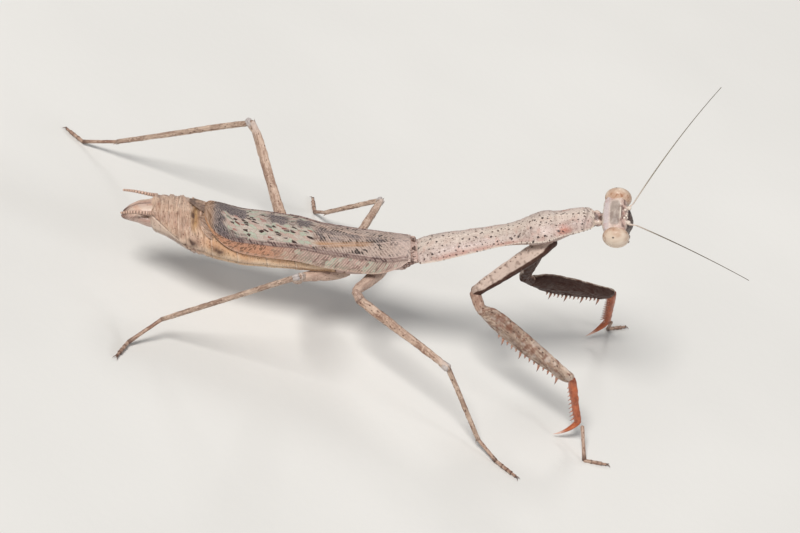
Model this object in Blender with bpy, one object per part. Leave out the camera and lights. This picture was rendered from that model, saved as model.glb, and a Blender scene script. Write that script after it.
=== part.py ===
"""A female Carolina mantis, about 55 mm long, as a still model at life size.

It stands on the floor on six feet, with its forebody raised. Lengths are in
millimetres until a mesh is made, and the meshes are in metres. The mantis
faces +X, its left side is +Y, and +Z is up. The origin is on the floor, under
the middle of the whole model's box.

Two frames carry the trunk. The body frame starts between the wing bases: its X
runs forward along the body, Y to the left and Z out of the back. The prothorax
frame starts where the long forebody joins it, and is tilted up from it. The
legs are chains of directions in the part's own frame, and each foot is set
down on the floor.
"""
import math

import bmesh
import bpy
import numpy as np
from mathutils import Matrix, Vector

MM = 0.001
GAP = 0.1                     # clearance between neighbouring pieces
MERGE = 1e-4                  # points closer than this are one point
SHARP = 40.0                  # degrees, edges that bend more stay sharp

# Stance
BODY_AT = (2.34, -4.88, 13.9)  # the point between the wing bases
BODY_PITCH = 20.5             # degrees, front end up
BODY_ROLL = 5.8               # degrees, leaning to its right
PROTHORAX_AT = (1.0, 0.0, -0.3)
PROTHORAX_PITCH = 14.4
HEAD_AT = (21.85, -0.35, 4.85)  # between the eyes, in the body frame
HEAD_YAW = -5.5               # turned a little to its right
HEAD_ROLL = 25.0              # its right eye hangs low
HEAD_PITCH = 12.0             # the face turned up

# Trunk, as rows along the body, smoothly joined
# Pronotum: distance forward, half width, height of the arch
PRONOTUM = ((0.3, 1.95, 1.15), (1.5, 2.05, 1.30), (5.4, 1.83, 1.18), (9.0, 1.62, 1.05),
            (11.0, 1.72, 1.12), (12.4, 2.12, 1.38), (13.7, 2.33, 1.50), (15.3, 1.95, 1.35),
            (18.0, 1.70, 1.20), (18.9, 1.40, 1.00), (19.2, 1.00, 0.78))
PRONOTUM_RIM = 0.2            # how far its edge goes down
# Prosternum: distance forward, half width, depth
PROSTERNUM = ((0.7, 1.20, 0.70), (5.0, 1.15, 0.75), (10.0, 1.20, 0.80), (12.4, 1.60, 1.30),
              (14.4, 1.65, 1.40), (15.8, 1.35, 1.10), (17.0, 1.10, 0.95), (18.8, 0.75, 0.60))
# Pterothorax: distance back, half width, middle, height above it, depth below it
PTEROTHORAX = ((-0.85, 1.80, -0.20, 1.00, 0.80), (-0.2, 1.95, -0.25, 1.12, 0.95),
               (0.18, 1.90, -0.35, 1.10, 1.05), (0.3, 1.60, -0.60, 0.72, 1.10),
               (2.0, 1.90, -0.90, 1.00, 1.20), (4.0, 2.00, -0.90, 1.20, 1.70),
               (6.5, 2.20, -0.80, 1.50, 1.80), (8.0, 2.30, -0.60, 1.65, 1.80))
# Abdomen: the same columns
ABDOMEN = ((8.1, 2.35, -0.50, 1.80, 1.85), (11.9, 3.00, 0.30, 2.02, 1.60),
           (15.1, 3.12, 0.90, 2.07, 1.95), (18.3, 3.22, 1.50, 2.07, 2.15),
           (21.0, 3.30, 2.60, 1.95, 2.45), (22.0, 3.32, 3.10, 1.80, 2.60),
           (23.6, 3.20, 3.90, 2.00, 2.65), (25.8, 2.50, 4.80, 1.95, 2.00),
           (27.6, 1.95, 5.25, 1.60, 1.65))
ABDOMEN_SEAMS = (8.1, 12.4, 15.4, 18.5, 21.2, 23.6, 25.8, 27.6)
# Last plates: distance back, half width, middle, height, depth
SUBGENITAL = ((27.75, 1.50, 5.15, 0.60, 1.45), (29.0, 1.20, 5.30, 0.55, 1.05),
              (30.1, 0.70, 5.10, 0.35, 0.70), (30.75, 0.25, 4.80, 0.15, 0.22))
OVIPOSITOR = ((27.75, 1.10, 5.90, 0.65, 0.05), (29.0, 0.75, 5.98, 0.42, 0.02),
              (30.1, 0.38, 5.60, 0.30, 0.02), (30.65, 0.15, 5.14, 0.22, 0.05))
CERCUS = ((27.75, 1.40, 6.50), (29.3, 1.72, 6.78), (30.9, 1.92, 6.90))  # back, out, level
CERCUS_RADII = (0.26, 0.27, 0.25)

# Wings at rest: distance back, half width, level of the edges, height of the arch
WING_ARCH = ((0.3, 2.05, 0.15, 0.75), (1.2, 2.46, -0.27, 1.35), (3.3, 3.12, -0.58, 1.75),
             (6.5, 3.32, -0.16, 1.83), (9.7, 3.30, 0.55, 1.83), (11.9, 3.40, 1.32, 1.88),
             (15.1, 3.49, 1.95, 1.93), (18.3, 3.39, 2.57, 1.95), (20.5, 3.28, 3.36, 1.95),
             (21.9, 3.15, 3.84, 1.92))
WING_THICKNESS = 0.5
WING_ROWS = (0.35, 1.2, 3.3, 6.5, 10.0, 14.0, 17.5, 19.4, 20.8, 21.6, 21.85)
TEGMEN_END = 21.9
TEGMEN_TAPER = 4.4            # length of its rounded tip
TEGMEN_TOP = 89.0             # degrees, where it meets the other near the midline
HINDWING_START = 22.15
HINDWING_END = {"left": 24.3, "right": 23.5}
HINDWING_LIFT = 0.22          # clear of the abdomen
HINDWING_SPAN = (42.0, 87.0)  # degrees up from the side, at its start
HINDWING_NARROWS = (22.0, -10.0)  # by which the span shrinks at its tip

# Head, in its own frame: X forward, Y left, Z from mouth to crown
# Rows from the mouth up: level, half width, front, back
HEAD = ((-2.9, 0.75, 0.95, 0.45), (-2.2, 1.05, 1.25, 0.70), (-1.2, 1.70, 1.50, 1.10),
        (0.0, 2.20, 1.20, 1.50), (0.8, 2.10, 0.95, 1.40), (1.25, 1.60, 0.60, 1.00),
        (1.45, 0.90, 0.30, 0.50))
LABRUM = ((-4.1, 0.40, 0.45, 0.10), (-3.8, 0.55, 0.62, 0.15), (-3.0, 0.68, 0.85, 0.25))
EYE_AT = (-0.03, 2.3, 0.0)
EYE_SIZE = (1.42, 1.00, 1.60)
ANTENNA_ROOT = (1.42, 0.9, 0.3)
ANTENNA_RADII = (0.3, 0.25, 0.25, 0.2)
PALP = ((0.0, 1.05, -2.95), (0.30, 1.15, -3.5), (0.50, 0.90, -4.2))
PALP_RADII = (0.25, 0.25, 0.2)
NECK = ((0.75, 0.70), (0.82, 0.78), (0.78, 0.72))  # half thickness and depth: ends and middle
NECK_END = (-1.62, 0.0, -0.3)
# Antennae in the body frame: first joint, the run from there to the tip, and its bow
ANTENNAE = {
    "left": ((0.40, 0.25, 0.35), (9.2, 8.2, 9.3), (-0.12, 0.3, 0.45)),
    "right": ((0.70, -0.40, 0.10), (11.1, -8.9, 0.10), (0.0, 0.1, 0.15)),
}

# Legs: lengths of the joints of each pair
LENGTHS = {
    "fore": {"coxa": 9.7, "trochanter": 1.9, "femur": 12.4, "tibia": 6.4, "basitarsus": 3.9,
             "toes": 3.35},
    "mid": {"coxa": 4.4, "trochanter": 1.2, "femur": 11.9, "tibia": 9.6, "basitarsus": 3.0,
            "toes": 3.4},
    "hind": {"coxa": 4.6, "trochanter": 1.2, "femur": 14.9, "tibia": 18.6, "basitarsus": 4.3,
             "toes": 3.4},
}
# Where each leg starts in the body frame, then the heading of each joint in
# degrees: azimuth from +X towards +Y, and elevation. A tibia and a basitarsus
# have the height of their far end instead, and the toes lie on the floor.
POSES = {
    "fore_right": {"at": (14.15, -1.0, 1.25), "coxa": (171.5, -61.4), "trochanter": (-45.0, -37.2),
                   "femur": (-22.5, -9.5), "tibia": (7.2, 2.60), "basitarsus": (-61.0, 0.33),
                   "toes": 4.0},
    "fore_left": {"at": (14.3, 1.3, 1.0), "coxa": (73.5, -62.4), "trochanter": (44.1, -31.2),
                  "femur": (26.5, -8.8), "tibia": (54.4, 2.90), "basitarsus": (62.6, 0.35),
                  "toes": 34.0},
    "mid_right": {"at": (-3.2, -1.1, -2.0), "coxa": (-125.4, -15.4), "trochanter": (-44.7, -21.0),
                  "femur": (-32.3, -2.9), "tibia": (-7.4, 1.36), "basitarsus": (-31.2, 0.36),
                  "toes": -34.0},
    "mid_left": {"at": (-2.9, 1.3, -2.0), "coxa": (158.0, -38.0), "trochanter": (95.4, -3.8),
                 "femur": (72.0, 3.9), "tibia": (129.9, 2.15), "basitarsus": (108.2, 0.34),
                 "toes": 95.3},
    "hind_right": {"at": (-7.4, -1.3, -2.0), "coxa": (-155.7, -10.8),
                   "trochanter": (-120.0, 12.0), "femur": (-101.4, 35.3),
                   "tibia": (151.6, 3.1), "basitarsus": (-143.7, 0.45), "toes": -110.5},
    "hind_left": {"at": (-7.4, 1.4, -2.0), "coxa": (169.8, -19.6), "trochanter": (160.0, -10.0),
                  "femur": (122.3, 27.5), "tibia": (150.5, 2.59), "basitarsus": (158.7, 0.40),
                  "toes": 138.8},
}
TOE_LEVEL = 0.24              # height of the toes' middle line
FORE_HIP_RISE = 1.3           # how far past its hip a grasping leg goes into the trunk
FORE_FOOT_CLEAR = (0.62, 0.3)  # how far its foot stands off the tibia, and reaches forward
CLAW_LENGTH = 3.05
CLAW_HEADINGS = {"fore_right": (-169.0, -44.5), "fore_left": (207.4, -45.0)}

# Limb outlines: rows of share of the length, half thickness, then the half depth, or the
# depth towards the outside of the bend and towards its inside
COXA_FORE = ((0.0, 0.55, 0.60), (0.15, 0.82, 0.95), (0.55, 0.80, 0.92), (0.93, 0.62, 0.68),
             (1.0, 0.58, 0.62))
TROCHANTER_FORE = ((0.0, 0.58, 0.62), (1.0, 0.55, 0.68, 0.50))
FEMUR_FORE = ((0.0, 0.55, 0.70, 0.48), (0.1, 0.60, 1.30, 0.85), (0.2, 0.66, 1.45, 1.20),
              (0.35, 0.68, 1.38, 1.42), (0.6, 0.60, 1.10, 1.42), (0.83, 0.50, 0.76, 1.22),
              (0.95, 0.46, 0.62, 1.15), (1.0, 0.42, 0.50, 0.70))
TIBIA_FORE = ((0.0, 0.38, 0.45), (0.12, 0.40, 0.50), (0.6, 0.36, 0.46), (1.0, 0.32, 0.42))
COXA = ((0.0, 0.50, 0.50), (0.3, 0.68, 0.68), (0.8, 0.55, 0.55), (1.0, 0.48, 0.48))
TROCHANTER = ((0.0, 0.46, 0.48), (1.0, 0.50, 0.56))
FEMUR_MID = ((0.1, 0.50, 0.64), (0.5, 0.46, 0.58), (0.88, 0.40, 0.52), (1.0, 0.34, 0.26, 0.44))
FEMUR_HIND = ((0.08, 0.52, 0.66), (0.5, 0.42, 0.57), (0.93, 0.36, 0.48), (1.0, 0.34, 0.22, 0.44))
TIBIA = ((0.0, 0.32, 0.26, 0.38), (0.1, 0.31, 0.34), (0.6, 0.30, 0.32), (1.0, 0.28, 0.29))
TARSUS_RADIUS = 0.27
TARSUS_SLOPE = 0.8            # share of the first foot joint that runs straight
TARSUS_HEEL = 0.12            # share of the toes where they come down flat
SOCKET_DEPTH = 0.02           # how much further a hip's socket is cut
CLAW = ((0.0, 0.30, 0.40), (0.3, 0.27, 0.32), (0.7, 0.26, 0.27), (1.0, 0.14, 0.14))

# Finishes: colour and roughness
FINISHES = {
    "pale": ((0.72, 0.58, 0.50), 0.55),
    "tan": ((0.78, 0.52, 0.34), 0.50),
    "wing": ((0.56, 0.47, 0.42), 0.45),
    "membrane": ((0.25, 0.22, 0.22), 0.40),
    "eye": ((0.80, 0.62, 0.44), 0.25),
    "leg": ((0.60, 0.46, 0.37), 0.55),
    "rust": ((0.55, 0.20, 0.07), 0.40),
}


# ---------------------------------------------------------------- geometry

def unit(vector):
    """The direction of a vector."""
    vector = np.asarray(vector, float)
    return vector / np.linalg.norm(vector)


def heading(azimuth, elevation):
    """The direction with this azimuth and elevation, in degrees."""
    a, e = math.radians(azimuth), math.radians(elevation)
    return np.array((math.cos(e) * math.cos(a), math.cos(e) * math.sin(a), math.sin(e)))


def smooth(rows, at):
    """Read a table of rows (key, values...) at one key, on a smooth curve through the rows."""
    table = np.array(rows, float)
    keys, values = table[:, 0], table[:, 1:]
    slopes = np.gradient(values, keys, axis=0)
    i = int(np.clip(np.searchsorted(keys, at) - 1, 0, len(keys) - 2))
    span = keys[i + 1] - keys[i]
    t = (min(max(at, keys[0]), keys[-1]) - keys[i]) / span
    near = (1 + 2 * t) * (1 - t) ** 2 * values[i] + t * (1 - t) ** 2 * span * slopes[i]
    far = t * t * (3 - 2 * t) * values[i + 1] - t * t * (1 - t) * span * slopes[i + 1]
    return near + far


def oval(half_width, up, down, sides):
    """A closed section of (across, out) points: an oval with its own height above and below."""
    turn = 2 * math.pi * (np.arange(sides) + 0.5) / sides
    out = np.sin(turn)
    return np.column_stack((half_width * np.cos(turn), np.where(out > 0, up, down) * out))


def transform(point, frame):
    """A point of a frame, as a point of the part, in millimetres."""
    return np.array(frame @ Vector(point))


BODY = Matrix.Translation(BODY_AT) @ (
    Matrix.Rotation(math.radians(-BODY_PITCH), 4, "Y")
    @ Matrix.Rotation(math.radians(BODY_ROLL), 4, "X"))
PROTHORAX = BODY @ Matrix.Translation(PROTHORAX_AT) @ Matrix.Rotation(
    math.radians(-PROTHORAX_PITCH), 4, "Y")
SKULL = BODY @ Matrix.Translation(HEAD_AT) @ (
    Matrix.Rotation(math.radians(HEAD_YAW), 4, "Z")
    @ Matrix.Rotation(math.radians(HEAD_ROLL), 4, "X")
    @ Matrix.Rotation(math.radians(-HEAD_PITCH), 4, "Y"))


# ---------------------------------------------------------------- objects

def clear_scene():
    """Remove what the new file holds."""
    for thing in list(bpy.data.objects):
        bpy.data.objects.remove(thing, do_unlink=True)


def finish(piece, key):
    """Give a piece a material of its own."""
    colour, roughness = FINISHES[key]
    material = bpy.data.materials.new(piece.name + "_finish")
    material.use_nodes = True
    shader = material.node_tree.nodes["Principled BSDF"]
    shader.inputs["Base Color"].default_value = (*colour, 1.0)
    shader.inputs["Roughness"].default_value = roughness
    shader.inputs["Metallic"].default_value = 0.0
    piece.data.materials.append(material)


def add_frame(name, matrix):
    """An empty that the pieces of a frame are placed by."""
    empty = bpy.data.objects.new(name + "_frame", None)
    empty.matrix_world = Matrix.Translation(matrix.to_translation() * MM) @ (
        matrix.to_3x3().to_4x4())
    bpy.context.scene.collection.objects.link(empty)
    return empty


def add_piece(name, shape, key, frame=None, at=(0.0, 0.0, 0.0)):
    """Make an object from a shape in metres, with its faces out, in a frame or at a place."""
    bmesh.ops.recalc_face_normals(shape, faces=shape.faces)
    mesh = bpy.data.meshes.new(name)
    shape.to_mesh(mesh)
    shape.free()
    mesh.shade_smooth()
    mesh.set_sharp_from_angle(angle=math.radians(SHARP))
    piece = bpy.data.objects.new(name, mesh)
    piece.parent = frame
    piece.location = Vector(at) * MM
    bpy.context.scene.collection.objects.link(piece)
    finish(piece, key)
    return piece


def sheet(rows):
    """A shape in metres: a grid stretched over rows of points in millimetres."""
    points = np.asarray(rows) * MM
    shape = bmesh.new()
    grid = bmesh.ops.create_grid(shape, x_segments=points.shape[1] - 1,
                                 y_segments=points.shape[0] - 1, size=1.0)
    for vert, point in zip(grid["verts"], points.reshape(-1, 3)):
        vert.co = point
    return shape


def loft(name, rings, key, frame=None, at=(0.0, 0.0, 0.0)):
    """A closed solid: a grid rolled through a list of rings, with a fan over each end."""
    shape = sheet([np.vstack((ring, ring[:1])) for ring in rings])
    bmesh.ops.remove_doubles(shape, verts=shape.verts, dist=MERGE * MM)
    ends = bmesh.ops.holes_fill(shape, edges=shape.edges)["faces"]
    bmesh.ops.poke(shape, faces=ends)
    return add_piece(name, shape, key, frame, at)


def trunk(name, rows, start, end, steps, sides, key, body):
    """A length of the trunk behind the wing bases, in the body frame."""
    rings = []
    for back in np.linspace(start, end, steps):
        half_width, middle, up, down = smooth(rows, back)
        section = oval(half_width, up, down, sides)
        rings.append(np.column_stack((np.full(sides, -back), section[:, 0],
                                      middle + section[:, 1])))
    return loft(name, rings, key, body)


def across(direction, up):
    """The sideways and the outward direction of a limb that runs along a direction."""
    side = unit(np.cross(up, direction))
    return side, np.cross(direction, side)


def slide(ring, along, cut):
    """Slide a ring's points along a limb until they lie on the cut through a joint."""
    point, normal = cut
    return ring + np.outer((point - ring) @ normal / (along @ normal), along)


def limb(name, path, sizes, up, key, cuts=(None, None), sides=8, floor=None):
    """A closed tube along a path, with a half thickness and one or two depths at each point.

    A cut is a point and a normal: that end is sliced along the plane. A floor
    flattens what would reach below it. The piece's origin is the path's start.
    """
    path = [np.asarray(point, float) for point in path]
    runs = [unit(b - a) for a, b in zip(path, path[1:])]
    rings = []
    for i, (point, size) in enumerate(zip(path, sizes)):
        along = unit(runs[max(i - 1, 0)] + runs[min(i, len(runs) - 1)])
        side, out = across(along, up)
        section = oval(size[0], size[1], size[-1], sides)
        rings.append(point + np.outer(section[:, 0], side) + np.outer(section[:, 1], out))
    if cuts[0]:
        rings[0] = slide(rings[0], runs[0], cuts[0])
    if cuts[1]:
        rings[-1] = slide(rings[-1], runs[-1], cuts[1])
    if floor is not None:
        rings = [np.column_stack((r[:, :2], np.maximum(r[:, 2], floor))) for r in rings]
    return loft(name, [ring - path[0] for ring in rings], key, at=path[0])


def segment(name, start, end, rows, up, key, cuts=(None, None), sides=8):
    """A straight joint of a limb, from rows of share, half thickness and half depth."""
    start, end = np.asarray(start), np.asarray(end)
    path = [start + (end - start) * row[0] for row in rows]
    return limb(name, path, [row[1:] for row in rows], up, key, cuts, sides)


def carve(piece, cutter):
    """Cut a hidden cutter out of a piece."""
    cutter.hide_render = True
    cutter.display_type = "WIRE"
    cut = piece.modifiers.new("carve_" + cutter.name, "BOOLEAN")
    cut.operation = "DIFFERENCE"
    cut.solver = "EXACT"
    cut.object = cutter


# ---------------------------------------------------------------- trunk

def make_thorax(body, prothorax):
    """Pronotum, prosternum and the thorax that carries the wings."""
    rings = []
    for forward, half_width, height in PRONOTUM:
        section = oval(half_width, height, PRONOTUM_RIM, 16)
        rings.append(np.column_stack((np.full(16, forward), section)))
    loft("pronotum", rings, "pale", prothorax)
    rings = []
    for forward, half_width, depth in PROSTERNUM:
        section = oval(half_width, GAP / 2, depth, 12)
        section[:, 1] -= PRONOTUM_RIM + 1.5 * GAP
        rings.append(np.column_stack((np.full(12, forward), section)))
    loft("prosternum", rings, "pale", prothorax)
    rings = []
    for back, half_width, middle, up, down in PTEROTHORAX:
        section = oval(half_width, up, down, 16)
        rings.append(np.column_stack((np.full(16, -back), section[:, 0], middle + section[:, 1])))
    loft("pterothorax", rings, "pale", body)


def make_neck():
    """The neck, cut square to the pronotum at one end and to the head at the other."""
    front = transform((PRONOTUM[-1][0] + GAP, 0.0, 0.0), PROTHORAX)
    back = transform((NECK_END[0] - GAP, *NECK_END[1:]), SKULL)
    ahead = (1, 0, 0)
    cuts = ((front, transform(ahead, PROTHORAX.to_3x3())), (back, transform(ahead, SKULL.to_3x3())))
    up = np.cross(unit(back - front), (0, -1, 0))
    limb("neck", [front, (front + back) / 2, back], NECK, up, "pale", cuts, 10)


def make_abdomen(body):
    """Seven rings, the last plates and the two cerci."""
    for i, (start, end) in enumerate(zip(ABDOMEN_SEAMS, ABDOMEN_SEAMS[1:])):
        trunk(f"abdomen_{i + 1}", ABDOMEN, start, end - GAP, 3, 14, "tan", body)
    trunk("subgenital_plate", SUBGENITAL, SUBGENITAL[0][0], SUBGENITAL[-1][0], 5, 10, "tan", body)
    trunk("ovipositor", OVIPOSITOR, OVIPOSITOR[0][0], OVIPOSITOR[-1][0], 5, 8, "leg", body)
    for side, name in ((1, "left"), (-1, "right")):
        path = [transform((-back, out * side, level), BODY) for back, out, level in CERCUS]
        limb(f"cercus_{name}", path, [(radius, radius) for radius in CERCUS_RADII],
             (0, 0, 1), "tan", sides=6)


# ---------------------------------------------------------------- wings

def wing_point(back, angle, side):
    """A point on the folded wings' arch, by angle up from the edge."""
    half_width, level, height = smooth(WING_ARCH, back)
    return (-back, side * half_width * math.cos(angle), level + height * math.sin(angle))


def tegmen_edge(back):
    """The angle where a tegmen's outer edge lies: 0 until its tip rounds off."""
    share = max(back - (TEGMEN_END - TEGMEN_TAPER), 0.0) / TEGMEN_TAPER
    return TEGMEN_TOP * (1 - math.sqrt(1 - min(share, 1.0) ** 2))


def add_wing(name, rows, key, body):
    """A wing from the rows of its outer face, thickened inwards."""
    wing = add_piece(name, sheet(rows), key, body)
    thicken = wing.modifiers.new("thicken", "SOLIDIFY")
    thicken.thickness = WING_THICKNESS * MM
    thicken.offset = -1.0


def make_tegmen(side, name, body):
    """A leathery forewing that covers its half of the back."""
    rows = []
    for back in WING_ROWS:
        angles = np.radians(np.linspace(tegmen_edge(back), TEGMEN_TOP, 8))
        rows.append([wing_point(back, angle, side) for angle in angles])
    add_wing(f"tegmen_{name}", rows, "wing", body)


def make_hindwing(side, name, body):
    """The tip of a hindwing, which lies on the abdomen behind the tegmen."""
    rows = []
    for share in (0.0, 0.4, 0.75, 1.0):
        back = HINDWING_START + share * (HINDWING_END[name] - HINDWING_START)
        low, high = np.array(HINDWING_SPAN) + np.array(HINDWING_NARROWS) * share ** 2
        half_width, level, up, _ = smooth(ABDOMEN, back)
        lift = HINDWING_LIFT + WING_THICKNESS
        rows.append([(-back, side * (half_width + lift) * math.cos(angle),
                      level + (up + lift) * math.sin(angle))
                     for angle in np.radians(np.linspace(low, high, 5))])
    add_wing(f"hindwing_{name}", rows, "membrane", body)


# ---------------------------------------------------------------- head

def level_loft(name, rows, sides, key, skull):
    """A solid of the head from rows of level, half width, front and back."""
    rings = []
    for level, half_width, front, back in rows:
        section = oval(half_width, front, back, sides)
        rings.append(np.column_stack((section[:, 1], section[:, 0], np.full(sides, level))))
    return loft(name, rings, key, skull)


def ellipsoid(name, centre, size, key, skull):
    """A ball stretched to a size, in the head's frame."""
    shape = bmesh.new()
    bmesh.ops.create_uvsphere(shape, u_segments=14, v_segments=8, radius=1)
    bmesh.ops.scale(shape, vec=Vector(size) * MM, verts=shape.verts)
    bmesh.ops.translate(shape, vec=Vector(centre) * MM, verts=shape.verts)
    return add_piece(name, shape, key, skull)


def make_head(skull):
    """Head capsule, eyes, antennae, labrum and palps."""
    head = level_loft("head", HEAD, 16, "pale", skull)
    level_loft("labrum", LABRUM, 10, "pale", skull)
    for side, name in ((1, "left"), (-1, "right")):
        at = (EYE_AT[0], EYE_AT[1] * side, EYE_AT[2])
        ellipsoid(f"eye_{name}", at, EYE_SIZE, "eye", skull)
        socket = [size + GAP for size in EYE_SIZE]
        carve(head, ellipsoid(f"socket_{name}", at, socket, "eye", skull))
        make_antenna(side, name)
        palp = [transform((x, y * side, z), SKULL) for x, y, z in PALP]
        limb(f"palp_{name}", palp, [(radius, radius) for radius in PALP_RADII],
             (0, 0, 1), "pale", sides=6)


def make_antenna(side, name):
    """A feeler: its first joint, then one bowed run to the tip."""
    root = transform((ANTENNA_ROOT[0], ANTENNA_ROOT[1] * side, ANTENNA_ROOT[2]), SKULL)
    scape, reach, bow = (transform(run, BODY.to_3x3()) for run in ANTENNAE[name])
    base = root + scape
    path = [root, base, base + 0.5 * reach + bow, base + reach]
    limb(f"antenna_{name}", path, [(radius, radius) for radius in ANTENNA_RADII],
         (0, 0, 1), "leg", sides=6)


# ---------------------------------------------------------------- legs

def leg_joints(leg):
    """The joints of a leg, from its root to the tip of its toes."""
    pose, lengths = POSES[leg], LENGTHS[leg.split("_")[0]]
    joints = [transform(pose["at"], BODY)]
    for part in ("coxa", "trochanter", "femur"):
        joints.append(joints[-1] + lengths[part] * heading(*pose[part]))
    for part in ("tibia", "basitarsus"):
        azimuth, level = pose[part]
        drop = math.degrees(math.asin((level - joints[-1][2]) / lengths[part]))
        joints.append(joints[-1] + lengths[part] * heading(azimuth, drop))
    drop = math.degrees(math.asin((TOE_LEVEL - joints[-1][2]) / lengths["toes"]))
    joints.append(joints[-1] + lengths["toes"] * heading(pose["toes"], drop))
    return joints


def bisector(before, joint, after):
    """The normal of the plane that halves the bend at a joint."""
    return unit(unit(joint - before) + unit(after - joint))


def joint_cuts(joints, i):
    """The two cuts of the limb from joint i to joint i + 1, half a gap clear of each joint."""
    cuts = []
    for j, clear in ((i, GAP / 2), (i + 1, -GAP / 2)):
        if 0 < j < len(joints) - 1:
            normal = bisector(joints[j - 1], joints[j], joints[j + 1])
            cuts.append((joints[j] + normal * clear, normal))
        else:
            cuts.append(None)
    return cuts


def make_grasping_leg(leg):
    """A fore leg: coxa, trochanter, femur, the tibia folded on it, and the foot."""
    joints = leg_joints(leg)
    hip, socket, root, knee, ankle, ball, tip = joints
    bend = unit(knee - root) - unit(ankle - knee)
    start = hip - FORE_HIP_RISE * unit(socket - hip)
    segment(f"{leg}_coxa", start, socket, COXA_FORE, bend, "leg", joint_cuts(joints, 0))
    carve_socket(leg, start, socket, bend, COXA_FORE, ("prosternum",))
    segment(f"{leg}_trochanter", socket, root, TROCHANTER_FORE, bend, "leg",
            joint_cuts(joints, 1))
    segment(f"{leg}_femur", root, knee, FEMUR_FORE, bend, "leg", joint_cuts(joints, 2), 10)
    make_grasping_tibia(leg, knee, ankle, bend, joint_cuts(joints, 3)[0])
    stand_off, reach = FORE_FOOT_CLEAR
    ankle = ankle + stand_off * unit(knee - root)
    make_tarsus(leg, ankle, ball + reach * unit(ball - ankle), tip, None)


def make_grasping_tibia(leg, knee, ankle, bend, cut):
    """The tibia that folds on the femur, with the long claw that ends it."""
    claw_tip = ankle + CLAW_LENGTH * heading(*CLAW_HEADINGS[leg])
    path = [knee + (ankle - knee) * row[0] for row in TIBIA_FORE[:-1]]
    path += [ankle + (claw_tip - ankle) * row[0] for row in CLAW]
    sizes = [row[1:] for row in TIBIA_FORE[:-1] + CLAW]
    limb(f"{leg}_tibia", path, sizes, bend, "rust", (cut, None))


def make_walking_leg(leg):
    """A mid or hind leg: coxa in its socket, femur with the trochanter, tibia and foot."""
    joints = leg_joints(leg)
    hip, socket, root, knee, ankle, ball, tip = joints
    bend = unit(knee - root) - unit(ankle - knee)
    segment(f"{leg}_coxa", hip, socket, COXA, bend, "leg", joint_cuts(joints, 0))
    trunk_pieces = ("pterothorax", "abdomen_1") if leg.startswith("hind") else ("pterothorax",)
    carve_socket(leg, hip, socket, bend, COXA, trunk_pieces)
    rows = FEMUR_MID if leg.startswith("mid") else FEMUR_HIND
    path = [socket, root] + [root + (knee - root) * row[0] for row in rows]
    sizes = [row[1:] for row in TROCHANTER + rows]
    cuts = (joint_cuts(joints, 1)[0], joint_cuts(joints, 2)[1])
    limb(f"{leg}_femur", path, sizes, bend, "leg", cuts)
    segment(f"{leg}_tibia", knee, ankle, TIBIA, bend, "leg", joint_cuts(joints, 3))
    make_tarsus(leg, ankle, ball, tip, joint_cuts(joints, 4)[0])


def carve_socket(leg, start, socket, bend, rows, hosts):
    """Cut pieces of the trunk clear of a coxa."""
    hollow = [(share, thick + GAP, deep + GAP) for share, thick, deep in rows]
    start = start - (GAP + SOCKET_DEPTH) * unit(socket - start)
    cutter = segment(f"{leg}_socket", start, socket, hollow, bend, "leg")
    for host in hosts:
        carve(bpy.data.objects[host], cutter)


def make_tarsus(leg, ankle, ball, tip, cut):
    """The foot: a slanting first joint and toes that lie flat on the floor."""
    heel = ball + TARSUS_HEEL * (tip - ball)
    heel[2] = TOE_LEVEL
    path = [ankle, ankle + TARSUS_SLOPE * (ball - ankle), ball, heel, tip]
    sizes = [(TARSUS_RADIUS, TARSUS_RADIUS)] * len(path)
    limb(f"{leg}_tarsus", path, sizes, (0, 0, 1), "leg", (cut, None), floor=0.0)


def main():
    clear_scene()
    body = add_frame("body", BODY)
    prothorax = add_frame("prothorax", PROTHORAX)
    skull = add_frame("skull", SKULL)
    make_thorax(body, prothorax)
    make_neck()
    make_abdomen(body)
    for side, name in ((1, "left"), (-1, "right")):
        make_tegmen(side, name, body)
        make_hindwing(side, name, body)
    make_head(skull)
    for leg in POSES:
        if leg.startswith("fore"):
            make_grasping_leg(leg)
        else:
            make_walking_leg(leg)


main()
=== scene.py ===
"""A female Carolina mantis at life size: skins, wings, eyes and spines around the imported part.

Lengths are in millimetres until a mesh is made, and every object stands at the
origin. The mantis faces +X, its left side is +Y, and +Z is up. The body frame
starts between the wing bases, and the prothorax and the skull have frames of
their own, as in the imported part.
"""
import math

import bpy
import numpy as np
from mathutils import Matrix, Vector


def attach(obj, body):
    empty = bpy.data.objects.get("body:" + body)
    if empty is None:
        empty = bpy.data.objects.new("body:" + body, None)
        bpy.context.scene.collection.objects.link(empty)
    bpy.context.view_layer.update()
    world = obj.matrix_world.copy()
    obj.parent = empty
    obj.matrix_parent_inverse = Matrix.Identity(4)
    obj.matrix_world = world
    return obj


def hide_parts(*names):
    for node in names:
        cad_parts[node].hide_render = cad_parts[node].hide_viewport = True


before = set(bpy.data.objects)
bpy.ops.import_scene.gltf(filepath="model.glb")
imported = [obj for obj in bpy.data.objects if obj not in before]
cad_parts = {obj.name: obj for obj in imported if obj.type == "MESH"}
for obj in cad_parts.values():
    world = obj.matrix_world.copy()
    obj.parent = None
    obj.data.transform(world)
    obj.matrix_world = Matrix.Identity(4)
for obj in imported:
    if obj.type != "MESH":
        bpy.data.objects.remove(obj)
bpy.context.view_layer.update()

MM = 0.001
SIDES = ((1, "left"), (-1, "right"))

# Stance
BODY_AT = (2.34, -4.88, 13.9)
BODY_PITCH = 20.5
BODY_ROLL = 5.8
PROTHORAX_AT = (1.0, 0.0, -0.3)
PROTHORAX_PITCH = 14.4
HEAD_AT = (21.85, -0.35, 4.85)
HEAD_YAW = -5.5
HEAD_ROLL = 25.0
HEAD_PITCH = 12.0

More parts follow.
